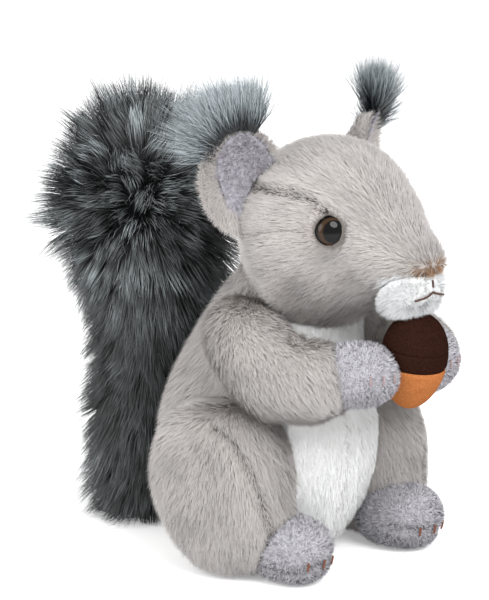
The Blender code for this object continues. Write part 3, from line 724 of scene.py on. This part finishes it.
def blades(name, path, normals, width, tones, body):
    """A mesh of flat blades along the paths, and a shading normal for each of its points.

    A blade's width is (1 - s^2) of the given one, a little less at the root, and ends in a
    point. The map holds s across and the tone up. The shading normal is the cover's own by the
    share `body`, and the blade's by the rest, so that the pile takes light as one soft surface.
    """
    count, parts = len(path), path.shape[1] - 1
    tangent = unit(np.gradient(path, axis=1))
    roll = np.radians(dice.normal(0, ROLL_SPREAD, count))
    across = unit(np.cross(tangent, normals[:, None]))
    facing = np.cross(across, tangent)
    across = across * np.cos(roll)[:, None, None] + facing * np.sin(roll)[:, None, None]
    along = np.arange(parts) / parts
    half = 0.5 * width[:, None] * (1 - along**2)[None] * np.where(along == 0, ROOT_WIDTH, 1)[None]
    left = path[:, :-1] - across[:, :-1] * half[..., None]
    right = path[:, :-1] + across[:, :-1] * half[..., None]
    rungs = np.stack([left, right], 2).reshape(count, 2 * parts, 3)
    points = np.concatenate([rungs, path[:, -1:]], 1)
    soft = unit(body * normals[:, None] + (1 - body) * np.cross(across, tangent))
    shade = np.concatenate([np.repeat(soft[:, :-1], 2, 1), soft[:, -1:]], 1)
    loops = []
    for k in range(parts - 1):
        loops += [2 * k, 2 * k + 1, 2 * k + 3, 2 * k + 2]
    loops = np.array(loops + [2 * parts - 2, 2 * parts - 1, 2 * parts])
    sizes = np.array([4] * (parts - 1) + [3])
    per = 2 * parts + 1
    corner_points = (np.arange(count)[:, None] * per + loops[None]).ravel()
    loop_share = np.concatenate([np.repeat(along, 2), [1.0]])[loops]
    side = np.where(loops % 2 == 1, 1, -1) * MAP_HALF
    side[loops == 2 * parts] = 0
    u = np.clip(np.tile(loop_share, count), MAP_EDGE, 1 - MAP_EDGE)
    v = np.clip(np.repeat(tones, len(loops)), MAP_EDGE, 1 - MAP_EDGE) + np.tile(side, count)
    mesh = bpy.data.meshes.new(name)
    mesh.vertices.add(count * per)
    write(mesh.vertices, "co", points)
    mesh.loops.add(len(corner_points))
    write(mesh.loops, "vertex_index", corner_points, np.int32)
    mesh.polygons.add(count * parts)
    starts = np.concatenate([[0], np.cumsum(np.tile(sizes, count))[:-1]])
    write(mesh.polygons, "loop_start", starts, np.int32)
    write(mesh.uv_layers.new(name="OFBake").data, "uv", np.stack([u, v], 1))
    mesh.update(calc_edges=True)
    mesh.validate()
    return mesh, shade


def grow(name, roots, normals, nap, length, width, tones, material, slot, lift, parts, clump, body,
         stray=12, sag=0.0, painted_shade=0.0):
    """A pile of hairs that bend over from their roots and lean together in clumps of (size,
    share), above the floor. In a seam and round an opening their tones fall by a share of painted shade."""
    path = bend(roots, normals, nap, length, lift, parts, stray, sag)
    path, tones = gather(path, tones, *clump)
    path[..., 2] = np.maximum(path[..., 2], dice.uniform(*FLOOR_GAP, len(roots))[:, None] * MM)
    # painted shade: the hairs' tones darken in seams and round openings
    mesh, shade = blades(name, path, normals, width, tones * (1 - painted_shade), body)
    piece = add_piece(name, mesh, material)
    mesh.normals_split_custom_set_from_vertices(shade.reshape(-1, 3).tolist())
    return piece


# Body plush


def head_flow(points):
    """The nap runs back from the nose, and sinks over the cheeks."""
    return np.tile([0.0, 1.0, -0.12], (len(points), 1))


def torso_flow(points):
    """The nap falls, and runs a little to the back."""
    return np.tile([0.0, 0.12, -1.0], (len(points), 1))


def arm_flow(points):
    """The nap falls outwards over the shoulder, and then runs down the sleeve to the hand."""
    fore = smoothstep(-points[:, 1:2], 15 * MM, 40 * MM)
    flow = (1 - fore) * [0.75, -0.45, -0.7] + fore * [0.1, -0.75, -0.7]
    return on_side_of(flow, points)


def leg_flow(points):
    """The nap leaves a whorl near the top of the thigh, and then falls."""
    out = points - THIGH_WHORL
    out[:, 0] *= 0.2
    away = np.linalg.norm(out[:, 1:], axis=1, keepdims=True)
    down = np.tile([0.0, 0.0, -1.0], (len(points), 1))
    return unit(out) * np.exp(-away / WHORL_REACH) * 1.6 + down


def ear_flow(points):
    """The nap runs out from the ear's middle to its rim."""
    return points - on_side_of(EAR_FLOW_MIDDLE, points)


def lining_flow(points):
    """The lining's curls lean outwards from its inner edge, each its own way."""
    out = unit(points - on_side_of(LINING_MIDDLE, points))
    return out + 0.8 * dice.normal(size=points.shape)


def muzzle_flow(points):
    """The muzzle's hairs stand out from its middle in every direction."""
    return points - MUZZLE_MIDDLE + 4 * MM * dice.normal(size=points.shape)


def random_flow(points):
    """Short curls that lean in every direction."""
    return dice.normal(size=points.shape)


def shoulder_painted_light(points):
    """Painted light: paler from the upper arm to the shoulder's top, against the head's shadow."""
    return 0.55 + 0.45 * smoothstep(points[:, 2], 88 * MM, 102 * MM)


def cheek_shade_and_darker_fur(points):
    """Darker under the cheek and along the jaw: partly painted shade under the head, partly darker fur.
    """
    return 0.55 - 0.33 * smoothstep(-points[:, 2], -145 * MM, -118 * MM)


def lining_painted_shade(points):
    """Painted shade: dark in the ear's hollow beside the head, and pale towards the lining's edge."""
    far = np.linalg.norm(points - on_side_of(LINING_MIDDLE, points), axis=1)
    return 0.2 + 0.62 * smoothstep(far, 4 * MM, 17 * MM)


def nose_tint(points):
    """The share of brown hairs: full at the nose's lower edge, and none a little above it."""
    far = np.linalg.norm((points - NOSE_MIDDLE) / NOSE_HALF, axis=1)
    return 0.9 * (1 - smoothstep(far, 0.6, 1.35))


def muzzle_tint(points):
    """The share of white hairs, which grow up to 2 mm above the muzzle's pads."""
    tree = TREES["muzzle"]
    far = np.array([tree.find_nearest(Vector(p), 8 * MM)[3] or 8 * MM for p in points])
    above = smoothstep(points[:, 2], 118 * MM, 122 * MM)
    ahead = smoothstep(-points[:, 1], 73 * MM, 79 * MM)
    return above * ahead * (1 - smoothstep(far, 1.6 * MM, 3.2 * MM))


def eye_opening(name):
    """The round opening that the fur leaves for an eye: middle, axis and radius."""
    _, axis, _ = turned_axis(f"eye_{name}")
    low, high = (np.array(c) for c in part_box(f"eye_{name}"))
    return (low + high) / 2, axis, EYE_RADIUS


def part_at_seams(roots, normals, nap, long, tones, length, lines):
    """How the hairs lie at seams, each a line and a depth.

    They lean away from the seam and shorten, and none is long enough to reach across it. At its
    bottom they lie along it, and beside it they are painted paler, as light on the ridge. Returns
    nap, lengths, tones and the share of painted shade that darkens each hair, a bell of its distance.
    """
    painted_shade = np.zeros(len(roots))
    for line, depth in lines:
        far, way = to_seam(roots, line)
        strength = min(1, depth / FULL_SEAM)
        trim = strength * (1 - smoothstep(far, 0, TRIM_REACH))
        nap = along_surface(nap - trim[:, None] * way, normals)
        ahead = (nap * way).sum(1)
        room_ahead = (far + OVERHANG) / np.maximum(ahead, 0.2)
        long = np.where((ahead > 0) & (far < length), np.minimum(long, room_ahead), long)
        long = long * (1 - SEAM_TRIM * trim)
        # painted shade: the hairs darken towards the seam's bottom
        painted_shade = np.maximum(painted_shade, SEAM_PAINTED_SHADE * strength * bell(far, SEAM_PAINTED_SHADE_WIDTH))
        lengthwise = np.cross(normals, way)
        lengthwise = lengthwise * np.where((lengthwise * nap).sum(1) < 0, -1, 1)[:, None]
        bottom = far < strength * SEAM_BOTTOM
        nap = np.where(bottom[:, None], lengthwise, nap)
        long = np.where(bottom, 0.5 * length, long)
        # painted light: the hairs are paler on the ridge beside the seam
        tones = tones + RIDGE_PAINTED_LIGHT * strength * bell(far - TRIM_REACH, RIDGE_WIDTH)
    return nap, long, tones, painted_shade


def clear_openings(roots, normals, nap, long, painted_shade, openings):
    """Round an opening the hairs lean outwards, shorten and darken with painted shade, and inside
    it none grows. Returns nap, lengths, the share of painted shade, and which hairs are kept."""
    kept = np.ones(len(roots), bool)
    for opening in openings:
        far, away = from_opening(roots, *opening)
        trim = 1 - smoothstep(far, 0, TRIM_REACH)
        nap = along_surface(nap + OPENING_PUSH * (trim**2)[:, None] * away, normals)
        long = long * (1 - OPENING_TRIM * trim)
        # painted shade on the hairs at the opening's edge
        dark = OPENING_PAINTED_SHADE * bell(np.maximum(far, 0), OPENING_PAINTED_SHADE_WIDTH)
        painted_shade = np.maximum(painted_shade, dark)
        kept &= far > -OVERHANG
    return nap, long, painted_shade, kept


def plush(node, flow, length, inset, slot="taupe_plush", cover=TAUPE_COVER, material=TAUPE_PILE,
          per_area=PLUSH_PER_AREA, width=PLUSH_WIDTH, seed=1, lift=(38, 10), tone=0.5, patches=0.22,
          each=0.09, shortest=0.6, fullness=0.0, clump=(20, 0.16), seams=(), openings=(), tints=()):
    """A cover and its pile, which shortens beside the pieces that it touches, down to the share
    `shortest` of its length.

    The tone is a number or a function of the points, from dark 0 to pale 1. A seam is (places,
    sides, depth), and an opening (middle, axis, radius). A tint of (amount at a point, material,
    name, slot) grows that share of the hairs in another colour.
    """
    piece, free = make_cover(node, inset, cover, fullness)
    lines = [(seam_line(piece, places, sides), depth) for places, sides, depth in seams]
    for line, depth in lines:
        sink_seam(piece, line, depth)
    # painted shade on the cover round each eye opening
    for opening in openings:
        far, _ = from_opening(arrays_of(piece.data)[0], *opening)
        paint_groove_shade(piece.data, 0.5 * (1 - smoothstep(far, 0, 3 * MM)))
    roots, normals, room = scatter(piece.data, free, per_area, hold=(free > LEAST_ROOM) * 1.0)
    nap = along_surface(flow(roots), normals)
    beside = smoothstep(room, LEAST_ROOM, 0.7)
    long = length * (shortest + (1 - shortest) * beside) * dice.uniform(*PLUSH_LENGTHS, len(roots))
    middle = tone(roots) if callable(tone) else tone
    tones = middle + patches * ripples(roots, PLUSH_PATCH, seed) + dice.normal(0, each, len(roots))
    # painted shade: the hairs are darker where a neighbouring piece is close
    tones = np.clip(np.clip(tones, 0, 1) - 0.12 * (1 - beside), PLUSH_DARKEST, 1)
    nap, long, tones, painted_shade = part_at_seams(roots, normals, nap, long, tones, length, lines)
    nap, long, painted_shade, kept = clear_openings(roots, normals, nap, long, painted_shade, openings)
    widths = np.full(len(roots), width) * dice.uniform(*PLUSH_WIDTHS, len(roots))
    sets = []
    for amount, tint_material, label, tint_slot in tints:
        tinted = kept & (dice.random(len(roots)) < amount(roots))
        kept &= ~tinted
        sets.append((f"{node}_{label}", tinted, tint_material, tint_slot))
    sets.append((f"{node}_pile", kept, material, slot))
    for name, chosen, colour, part in sets:
        hairs = (v[chosen] for v in (roots, normals, nap, long, widths, np.clip(tones, 0, 1)))
        grow(name, *hairs, colour, part, lift=lift, parts=1, clump=clump, body=0.9,
             painted_shade=painted_shade[chosen])


def make_body():
    both = (-1, 1)
    plush("torso", torso_flow, 6 * MM, 1.9 * MM, seed=11)
    # the head's tone holds painted shade under the cheek as well as darker fur there
    plush("head", head_flow, 5.2 * MM, 1.8 * MM, seed=12, tone=cheek_shade_and_darker_fur,
          tints=[(nose_tint, NOSE_PILE, "nose_tint", "taupe_plush"),
                 (muzzle_tint, MUZZLE_PILE, "muzzle_edge", "white_plush")],
          seams=[(BROW_SEAM, both, 1.6 * MM), (CHEEK_SEAM, both, 0.35 * MM)],
          openings=[eye_opening(name) for _, name in SIDES])
    for side, name in SIDES:
        # the arm's tone paints light on the shoulder's top
        plush(f"arm_{name}", arm_flow, 5.5 * MM, 1.6 * MM, seed=13, tone=shoulder_painted_light,
              shortest=0.9)
        plush(f"leg_{name}", leg_flow, 5.5 * MM, 1.9 * MM, seed=14,
              seams=[(THIGH_SEAM, (side,), 1.1 * MM)])
        plush(f"ear_back_{name}", ear_flow, 3.6 * MM, 0.6 * MM, seed=15, tone=0.85,
              each=0.05, per_area=6.5e6, lift=(35, 5), shortest=0.9, patches=0.1)


def make_white():
    white = {"slot": "white_plush", "cover": WHITE_COVER}
    plush("belly_panel", torso_flow, 3.8 * MM, 0.4 * MM, **white, material=WHITE_PILE, seed=21,
          lift=(34, 10), patches=0.12, seams=[(BELLY_SEAM, (1,), 0.6 * MM)])
    plush("muzzle", muzzle_flow, 4.2 * MM, 1.2 * MM, **white, material=MUZZLE_PILE, seed=22,
          lift=(75, 40), per_area=6e6, tone=0.4, patches=0.15, each=0.2, shortest=0.3, fullness=0.8)


def make_lilac():
    lilac = {"slot": "lilac_plush", "cover": LILAC_COVER}
    for side, name in SIDES:
        for part in ("hand", "foot"):
            plush(f"{part}_{name}", random_flow, 2.5 * MM, 0.25 * MM, **lilac, material=LILAC_PILE,
                  per_area=5.0e6, width=0.4 * MM, seed=31, lift=(60, 25), patches=0.12, each=0.2,
                  shortest=0.8, fullness=1.0,
                  seams=[(SOLE_SEAM, (side,), 0.7 * MM)] if part == "foot" else ())
        # the lining's tone paints shade in the ear's hollow
        plush(f"ear_lining_{name}", lining_flow, 3.2 * MM, 0.2 * MM, **lilac,
              material=LINING_PILE, per_area=6.0e6, width=0.36 * MM, seed=32, lift=(45, 10),
              tone=lining_painted_shade, patches=0.1, each=0.2, shortest=0.9, clump=(14, 0.6))


# Tail and tufts


def swept(spine, halves, side, rows, columns):
    """A closed surface along a spine: rings whose half sizes are the given ones, rounded at the
    ends as a sphere is. Returns points[row, column]."""
    spine, halves, side = (np.asarray(values, float) for values in (spine, halves, side))
    for end, inner in ((0, 1), (-1, -2)):
        out = spine[end] - spine[inner]
        pole = spine[end] + out / np.linalg.norm(out) * 0.6 * halves[end].min()
        spine = np.insert(spine, 0 if end == 0 else len(spine), pole, axis=0)
    halves = np.pad(halves, ((1, 1), (0, 0)))
    steps = np.linalg.norm(np.diff(spine, axis=0), axis=1)
    share = np.concatenate([[0], np.cumsum(steps)]) / steps.sum()
    polar = np.linspace(0, pi, rows)
    at = (1 - np.cos(polar)) / 2
    middle = np.stack([smooth_through(share, c, at) for c in spine.T], 1)
    tangent = unit(np.gradient(middle, axis=0))
    across = unit(side - (tangent @ side)[:, None] * tangent)
    over = np.cross(tangent, across)
    inside = np.sin(polar) > 1e-3
    square = [np.clip(smooth_through(share, h**2, at), 0, None) * inside for h in halves.T]
    width, depth = (np.sqrt(s)[:, None, None] for s in square)
    turn = np.linspace(0, 2 * pi, columns, endpoint=False)[None, :, None]
    ring = across[:, None] * width * np.cos(turn) + over[:, None] * depth * np.sin(turn)
    return middle[:, None] + ring


def make_tail():
    """The tail's hairs are combed down the stem and stand out from the plume's middle. Those that
    face the back are longer, and so are a few thin wisps."""
    spine = [(0, y * MM, z * MM) for z, y, _, _ in TAIL_LINE]
    halves = [(width * MM, depth * MM) for _, _, width, depth in TAIL_LINE]
    core = grid_mesh("tail_cover", swept(spine, halves, (1, 0, 0), 64, 40))
    cover = add_piece("tail_cover", core, DARK_COVER)
    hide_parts("tail")
    points, _, _ = arrays_of(core)
    roots, normals, height = scatter(core, points[:, 2], TAIL_PER_AREA)
    count = len(roots)
    plume = smoothstep(height, 90 * MM, 130 * MM)[:, None]
    out = plume * unit(roots - PLUME_MIDDLE) + (1 - plume) * (0.8 * normals + TAIL_COMB)
    heading = unit(unit(out) + 0.16 * dice.normal(size=roots.shape))
    length = (TAIL_HAIR + 4 * ripples(roots, 30 * MM, 5) + dice.normal(0, 3, count)) * MM
    to_back = smoothstep(-normals[:, 1], 0.2, 0.8) * smoothstep(height, 60 * MM, 85 * MM)
    length = length + TAIL_TO_BACK * to_back * (1 - smoothstep(height, 118 * MM, 138 * MM))
    wisp = dice.random(count) < TAIL_WISPS
    length = np.where(wisp, length + dice.uniform(*TAIL_WISP_MORE, count) * MM, length)
    middle = 0.12 + 0.40 * smoothstep(height, 92 * MM, 122 * MM)
    tones = middle + (0.2 + 0.25 * plume[:, 0]) * ripples(roots, 8 * MM, 6)
    tones = tones + dice.normal(0, 0.15, count)
    tones = np.where(wisp, dice.choice([0.05, 0.8], count), np.clip(tones, 0, 1))
    width = np.where(wisp, 0.2, dice.uniform(0.3, 0.5, count)) * MM
    for label, chosen in (("plume", height >= PLUME_FROM), ("stem", height < PLUME_FROM)):
        hairs = (v[chosen] for v in (roots, normals, heading, length, width, tones))
        grow(f"tail_{label}_pile", *hairs, TAIL_PILE, "long_pile", lift=(0, 0), parts=3,
             clump=(30, 0.55), stray=0, sag=0.3, body=0.55)


def lining_edge(angle):
    """How far out the lining's edge lies at each angle around the ear, as a share of the rim.

    It is where the ray from the ear's middle leaves the lining's ellipse: the larger root of
    the quadratic that puts the ray into the ellipse's equation.
    """
    rim = np.stack([np.sin(angle) * EAR_HALF_WIDTH, np.cos(angle) * EAR_HALF_HEIGHT])
    ray = rim / np.c_[LINING_HALF].T
    shift = (np.array(LINING_SHIFT) / LINING_HALF)[:, None]
    a = (ray**2).sum(0)
    b = -(ray * shift).sum(0)
    c = (shift**2).sum() - 1
    return (-b + np.sqrt(b**2 - a * c)) / a


def make_tufts():
    """Hairs sewn into the seam around the lining's top: each fans out at its own angle in the
    ear's plane and spreads a little to both sides of it. A few are long wisps, in bundles."""
    count = TUFT_HAIRS
    for side, name in SIDES:
        flip = np.array([side, 1.0, 1.0])
        middle, up, out, facing = (v * flip for v in (EAR_MIDDLE, EAR_UP, EAR_OUT, EAR_FACING))
        angle = dice.uniform(TUFT_FROM, TUFT_TO, count)
        reach = np.minimum(lining_edge(angle) + dice.uniform(0.02, 0.26, count), 0.97)[:, None]
        rim = np.cos(angle)[:, None] * EAR_HALF_HEIGHT * up
        rim = rim + np.sin(angle)[:, None] * EAR_HALF_WIDTH * out
        front = DISH_FRONT - DISH_DEPTH * (1 - reach**2)
        roots = middle + rim * reach + facing * (front - dice.uniform(0, 4, (count, 1)) * MM)
        fan = angle * TUFT_FAN + TUFT_LEAN + np.radians(dice.normal(0, TUFT_FAN_SPREAD, count))
        heading = np.cos(fan)[:, None] * up + np.sin(fan)[:, None] * out
        heading = unit(heading - facing * dice.normal(0.05, 0.42, count)[:, None])
        wisp = dice.random(count) < TUFT_WISPS
        bundle = 0.5 + 0.5 * ripples(roots, 5 * MM, 9)
        wisp_length = TUFT_WISP[0] + TUFT_WISP[1] * bundle * dice.random(count)
        length = np.where(wisp, wisp_length, dice.uniform(*TUFT_HAIR, count))
        length = length * (1 - 0.2 * smoothstep(angle, 0.2, 0.8)) * MM
        tones = np.clip(0.45 + 0.3 * ripples(roots, 4 * MM, 8) + dice.normal(0, 0.2, count), 0, 1)
        tones = np.where(wisp, dice.uniform(0.0, 0.6, count), tones)
        width = np.where(wisp, 0.17, dice.uniform(0.24, 0.4, count)) * MM
        hairs = grow(f"ear_tuft_{name}_pile", roots, -np.tile(facing, (count, 1)), heading, length,
                     width, tones, TUFT_PILE, "long_pile", lift=(0, 0), parts=4, clump=(24, 0.4),
                     stray=6, sag=-0.06, body=0.5)
        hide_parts(f"ear_tuft_{name}")


# Eyes, acorn and threads


def turned_axis(*nodes):
    """Middle, axis and points of turned solids: the axis is the direction whose spread differs
    most from the other two."""
    points = np.concatenate([arrays_of(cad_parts[n].data)[0] for n in nodes])
    points = np.unique(np.round(points, 7), axis=0)
    middle = points.mean(0)
    spread, directions = np.linalg.eigh(np.cov((points - middle).T))
    odd = 0 if spread[1] - spread[0] > spread[2] - spread[1] else 2
    return middle, directions[:, odd], points


def round_axis(axis):
    """Two directions square to an axis and to each other."""
    side = unit(np.cross(axis, TURN_START))
    return side, np.cross(axis, side)


def turned_mesh(name, radii, heights, middle, axis, columns=64):
    """A profile of (radius, height) spun about an axis."""
    axis = axis / np.linalg.norm(axis)
    side, other = round_axis(axis)
    turn = np.linspace(0, 2 * pi, columns, endpoint=False)
    ring = np.cos(turn)[:, None] * side + np.sin(turn)[:, None] * other
    points = middle + heights[:, None, None] * axis + radii[:, None, None] * ring[None]
    return grid_mesh(name, points)


def off_axis(points, axis):
    """The part of each point that is square to an axis."""
    return points - np.outer(points @ axis, axis)


def map_eye(mesh, centre, axis):
    """Maps a dome: how far out across, and the turn round its axis up.

    The pupil's edge lies further out towards the nose, at e = PUPIL + PUPIL_AHEAD cos(angle to
    the front). Inside it the map holds PUPIL r / e, and outside it goes on evenly to 1.
    """
    layer = mesh.uv_layers.new(name="OFBake")
    flat = off_axis(arrays_of(mesh)[0] - centre, axis)
    reach = np.linalg.norm(flat, axis=1) / EYE_RADIUS
    forward = unit(np.array([0.0, -1.0, 0.0]) + axis[1] * axis)
    edge = PUPIL + PUPIL_AHEAD * (unit(flat) @ forward)
    inside = PUPIL * reach / edge
    outside = PUPIL + (1 - PUPIL) * (reach - edge) / (1 - edge)
    reach = np.where(reach < edge, inside, outside)
    side, other = round_axis(axis)
    turn = np.arctan2(flat @ other, flat @ side) / (2 * pi) + 0.5
    corners = read(mesh.loops, "vertex_index", 1, np.int32)[:, 0]
    write(layer.data, "uv", np.stack([np.clip(reach, 0, 1), turn], 1)[corners])


def make_eyes():
    """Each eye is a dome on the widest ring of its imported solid."""
    material = eye_material()
    for side, name in SIDES:
        middle, axis, points = turned_axis(f"eye_{name}")
        out = (points - middle) @ axis
        far = np.linalg.norm(off_axis(points - middle, axis), axis=1)
        rim = out[far > far.max() * 0.98].mean()
        if axis[0] * side < 0:
            axis, rim = -axis, -rim
        centre = middle + axis * rim
        polar = np.linspace(0, pi / 2, 20)
        radii = np.concatenate([EYE_RADIUS * np.sin(polar), [EYE_RADIUS * 0.97, 1e-6]])
        heights = np.concatenate([EYE_DOME * np.cos(polar), [-EYE_BACK, -EYE_BACK]]) + EYE_AHEAD
        mesh = turned_mesh(f"eye_{name}_dome", radii, heights, centre, axis)
        map_eye(mesh, centre, axis)
        dome = add_piece(f"eye_{name}_dome", mesh, material)
        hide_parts(f"eye_{name}")


def make_acorn():
    """The cap and the nut, each turned to the egg's own profile and tucked in at the seams."""
    brown = felt_material("brown_felt", (0.014, 0.0058, 0.0038), (0.031, 0.0125, 0.0085))
    tan = felt_material("tan_felt", (0.32, 0.105, 0.032), (0.47, 0.175, 0.06))
    middle, axis, points = turned_axis("acorn_cap", "acorn_nut")
    axis = axis * np.sign(axis[2])
    along = (points - middle) @ axis
    low, high = along.min(), along.max()
    middle = middle + axis * (low + high) / 2
    half = (high - low) / 2
    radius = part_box("acorn_cap")[1].x
    for node, slot, material, start, end in (
        ("acorn_cap", "brown_felt", brown, 1, ACORN_SEAM),
        ("acorn_nut", "tan_felt", tan, ACORN_SEAM, -1),
    ):
        share = np.sin(np.linspace(np.arcsin(start), np.arcsin(end), 90))
        radii = radius * np.sqrt(np.clip(1 - share**2, 0, 1)) * (1 + ACORN_TAPER * share)
        tuck = ACORN_TUCK[0] * bell((share - ACORN_SEAM) * half, ACORN_TUCK[1])
        tuck = tuck + CAP_TUCK[0] * bell(share * half - CAP_SEAM, CAP_TUCK[1])
        radii = np.clip(radii - tuck, 0, None)
        mesh = turned_mesh(f"{node}_felt", radii, share * half, middle, axis, 72)
        felt = add_piece(f"{node}_felt", mesh, material)
        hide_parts(node)


def dress_threads():
    brown = thread_material("mouth_thread", (0.030, 0.012, 0.008), (0.09, 0.035, 0.022))
    rust = thread_material("toe_thread", (0.10, 0.030, 0.015), (0.24, 0.085, 0.045))
    faint = thread_material("finger_thread", (0.24, 0.17, 0.17), (0.36, 0.27, 0.27))
    for node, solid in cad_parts.items():
        if "stitch" in node:
            kind = rust if node.startswith("foot") else faint if node.startswith("hand") else brown
            solid.material_slots[0].material = kind


# Camera, light and floor


def aim(thing, turn, rise, distance):
    """Puts a camera or a lamp round the target and turns it to look there."""
    away = Vector((sin(turn) * cos(rise), -cos(turn) * cos(rise), sin(rise)))
    thing.location = CAMERA_TARGET + away * distance
    thing.rotation_euler = away.to_track_quat("Z", "Y").to_euler()


def mix_shown(tree, other, seen, socket):
    """Shows `seen` to camera, glossy and transmission rays, and `other` to the rest."""
    path = add_node(tree, "LightPath", {})
    either = path.outputs["Is Camera Ray"]
    for kind in ("Is Glossy Ray", "Is Transmission Ray"):
        inputs = {0: either, 1: path.outputs[kind]}
        either = add_node(tree, "Math", inputs, operation="MAXIMUM").outputs[0]
    mix = add_node(tree, "MixShader", {0: either, 1: other, 2: seen})
    tree.links.new(mix.outputs[0], socket)


def make_camera():
    data = bpy.data.cameras.new("camera")
    data.lens = CAMERA_LENS
    data.sensor_width = SENSOR_WIDTH
    data.clip_start = 0.05
    camera = new_object("camera", data)
    aim(camera, CAMERA_TURN, CAMERA_RISE, CAMERA_DISTANCE)
    bpy.context.scene.camera = camera


def make_world():
    """A white world: it lights the toy with WORLD_LIGHT, and is seen as plain white."""
    world = bpy.data.worlds.new("studio")
    bpy.context.scene.world = world
    world.use_nodes = True
    tree = world.node_tree
    back = tree.nodes["Background"]
    back.inputs["Color"].default_value = WHITE
    back.inputs["Strength"].default_value = WORLD_LIGHT
    seen = add_node(tree, "Background", {"Color": WHITE, "Strength": 1})
    mix_shown(tree, back.outputs[0], seen.outputs[0], tree.nodes["World Output"].inputs["Surface"])


def make_floor():
    """White paper: what is seen of it glows a little, so that only the shadow is grey."""
    mesh = bpy.data.meshes.new("floor")
    corners = [(x * FLOOR_HALF, y * FLOOR_HALF, 0) for x, y in ((-1, -1), (1, -1), (1, 1), (-1, 1))]
    mesh.from_pydata(corners, [], [(0, 1, 2, 3)])
    floor = new_object("floor", mesh)
    material, tree, shader = new_material("floor_paper", 0.9, 0.0)
    shader.inputs["Base Color"].default_value = (0.8, 0.8, 0.8, 1)
    mesh.materials.append(material)
    bright = add_node(tree, "BsdfDiffuse", {"Color": WHITE})
    glow = add_node(tree, "Emission", {"Strength": FLOOR_GLOW})
    add = add_node(tree, "AddShader", {0: bright.outputs[0], 1: glow.outputs[0]})
    mix_shown(tree, shader.outputs[0], add.outputs[0], tree.nodes["Material Output"].inputs["Surface"])


def make_lamps():
    for name, turn, rise, distance, size, power in LAMPS:
        light = bpy.data.lights.new(name, "AREA")
        light.shape = "DISK"
        light.size = size
        light.energy = power
        aim(new_object(name, light), turn, rise, distance)


bpy.context.scene.view_settings.view_transform = "Standard"
make_camera()
make_world()
make_floor()
make_lamps()
make_body()
make_white()
make_lilac()
make_tail()
make_tufts()
make_eyes()
make_acorn()
dress_threads()
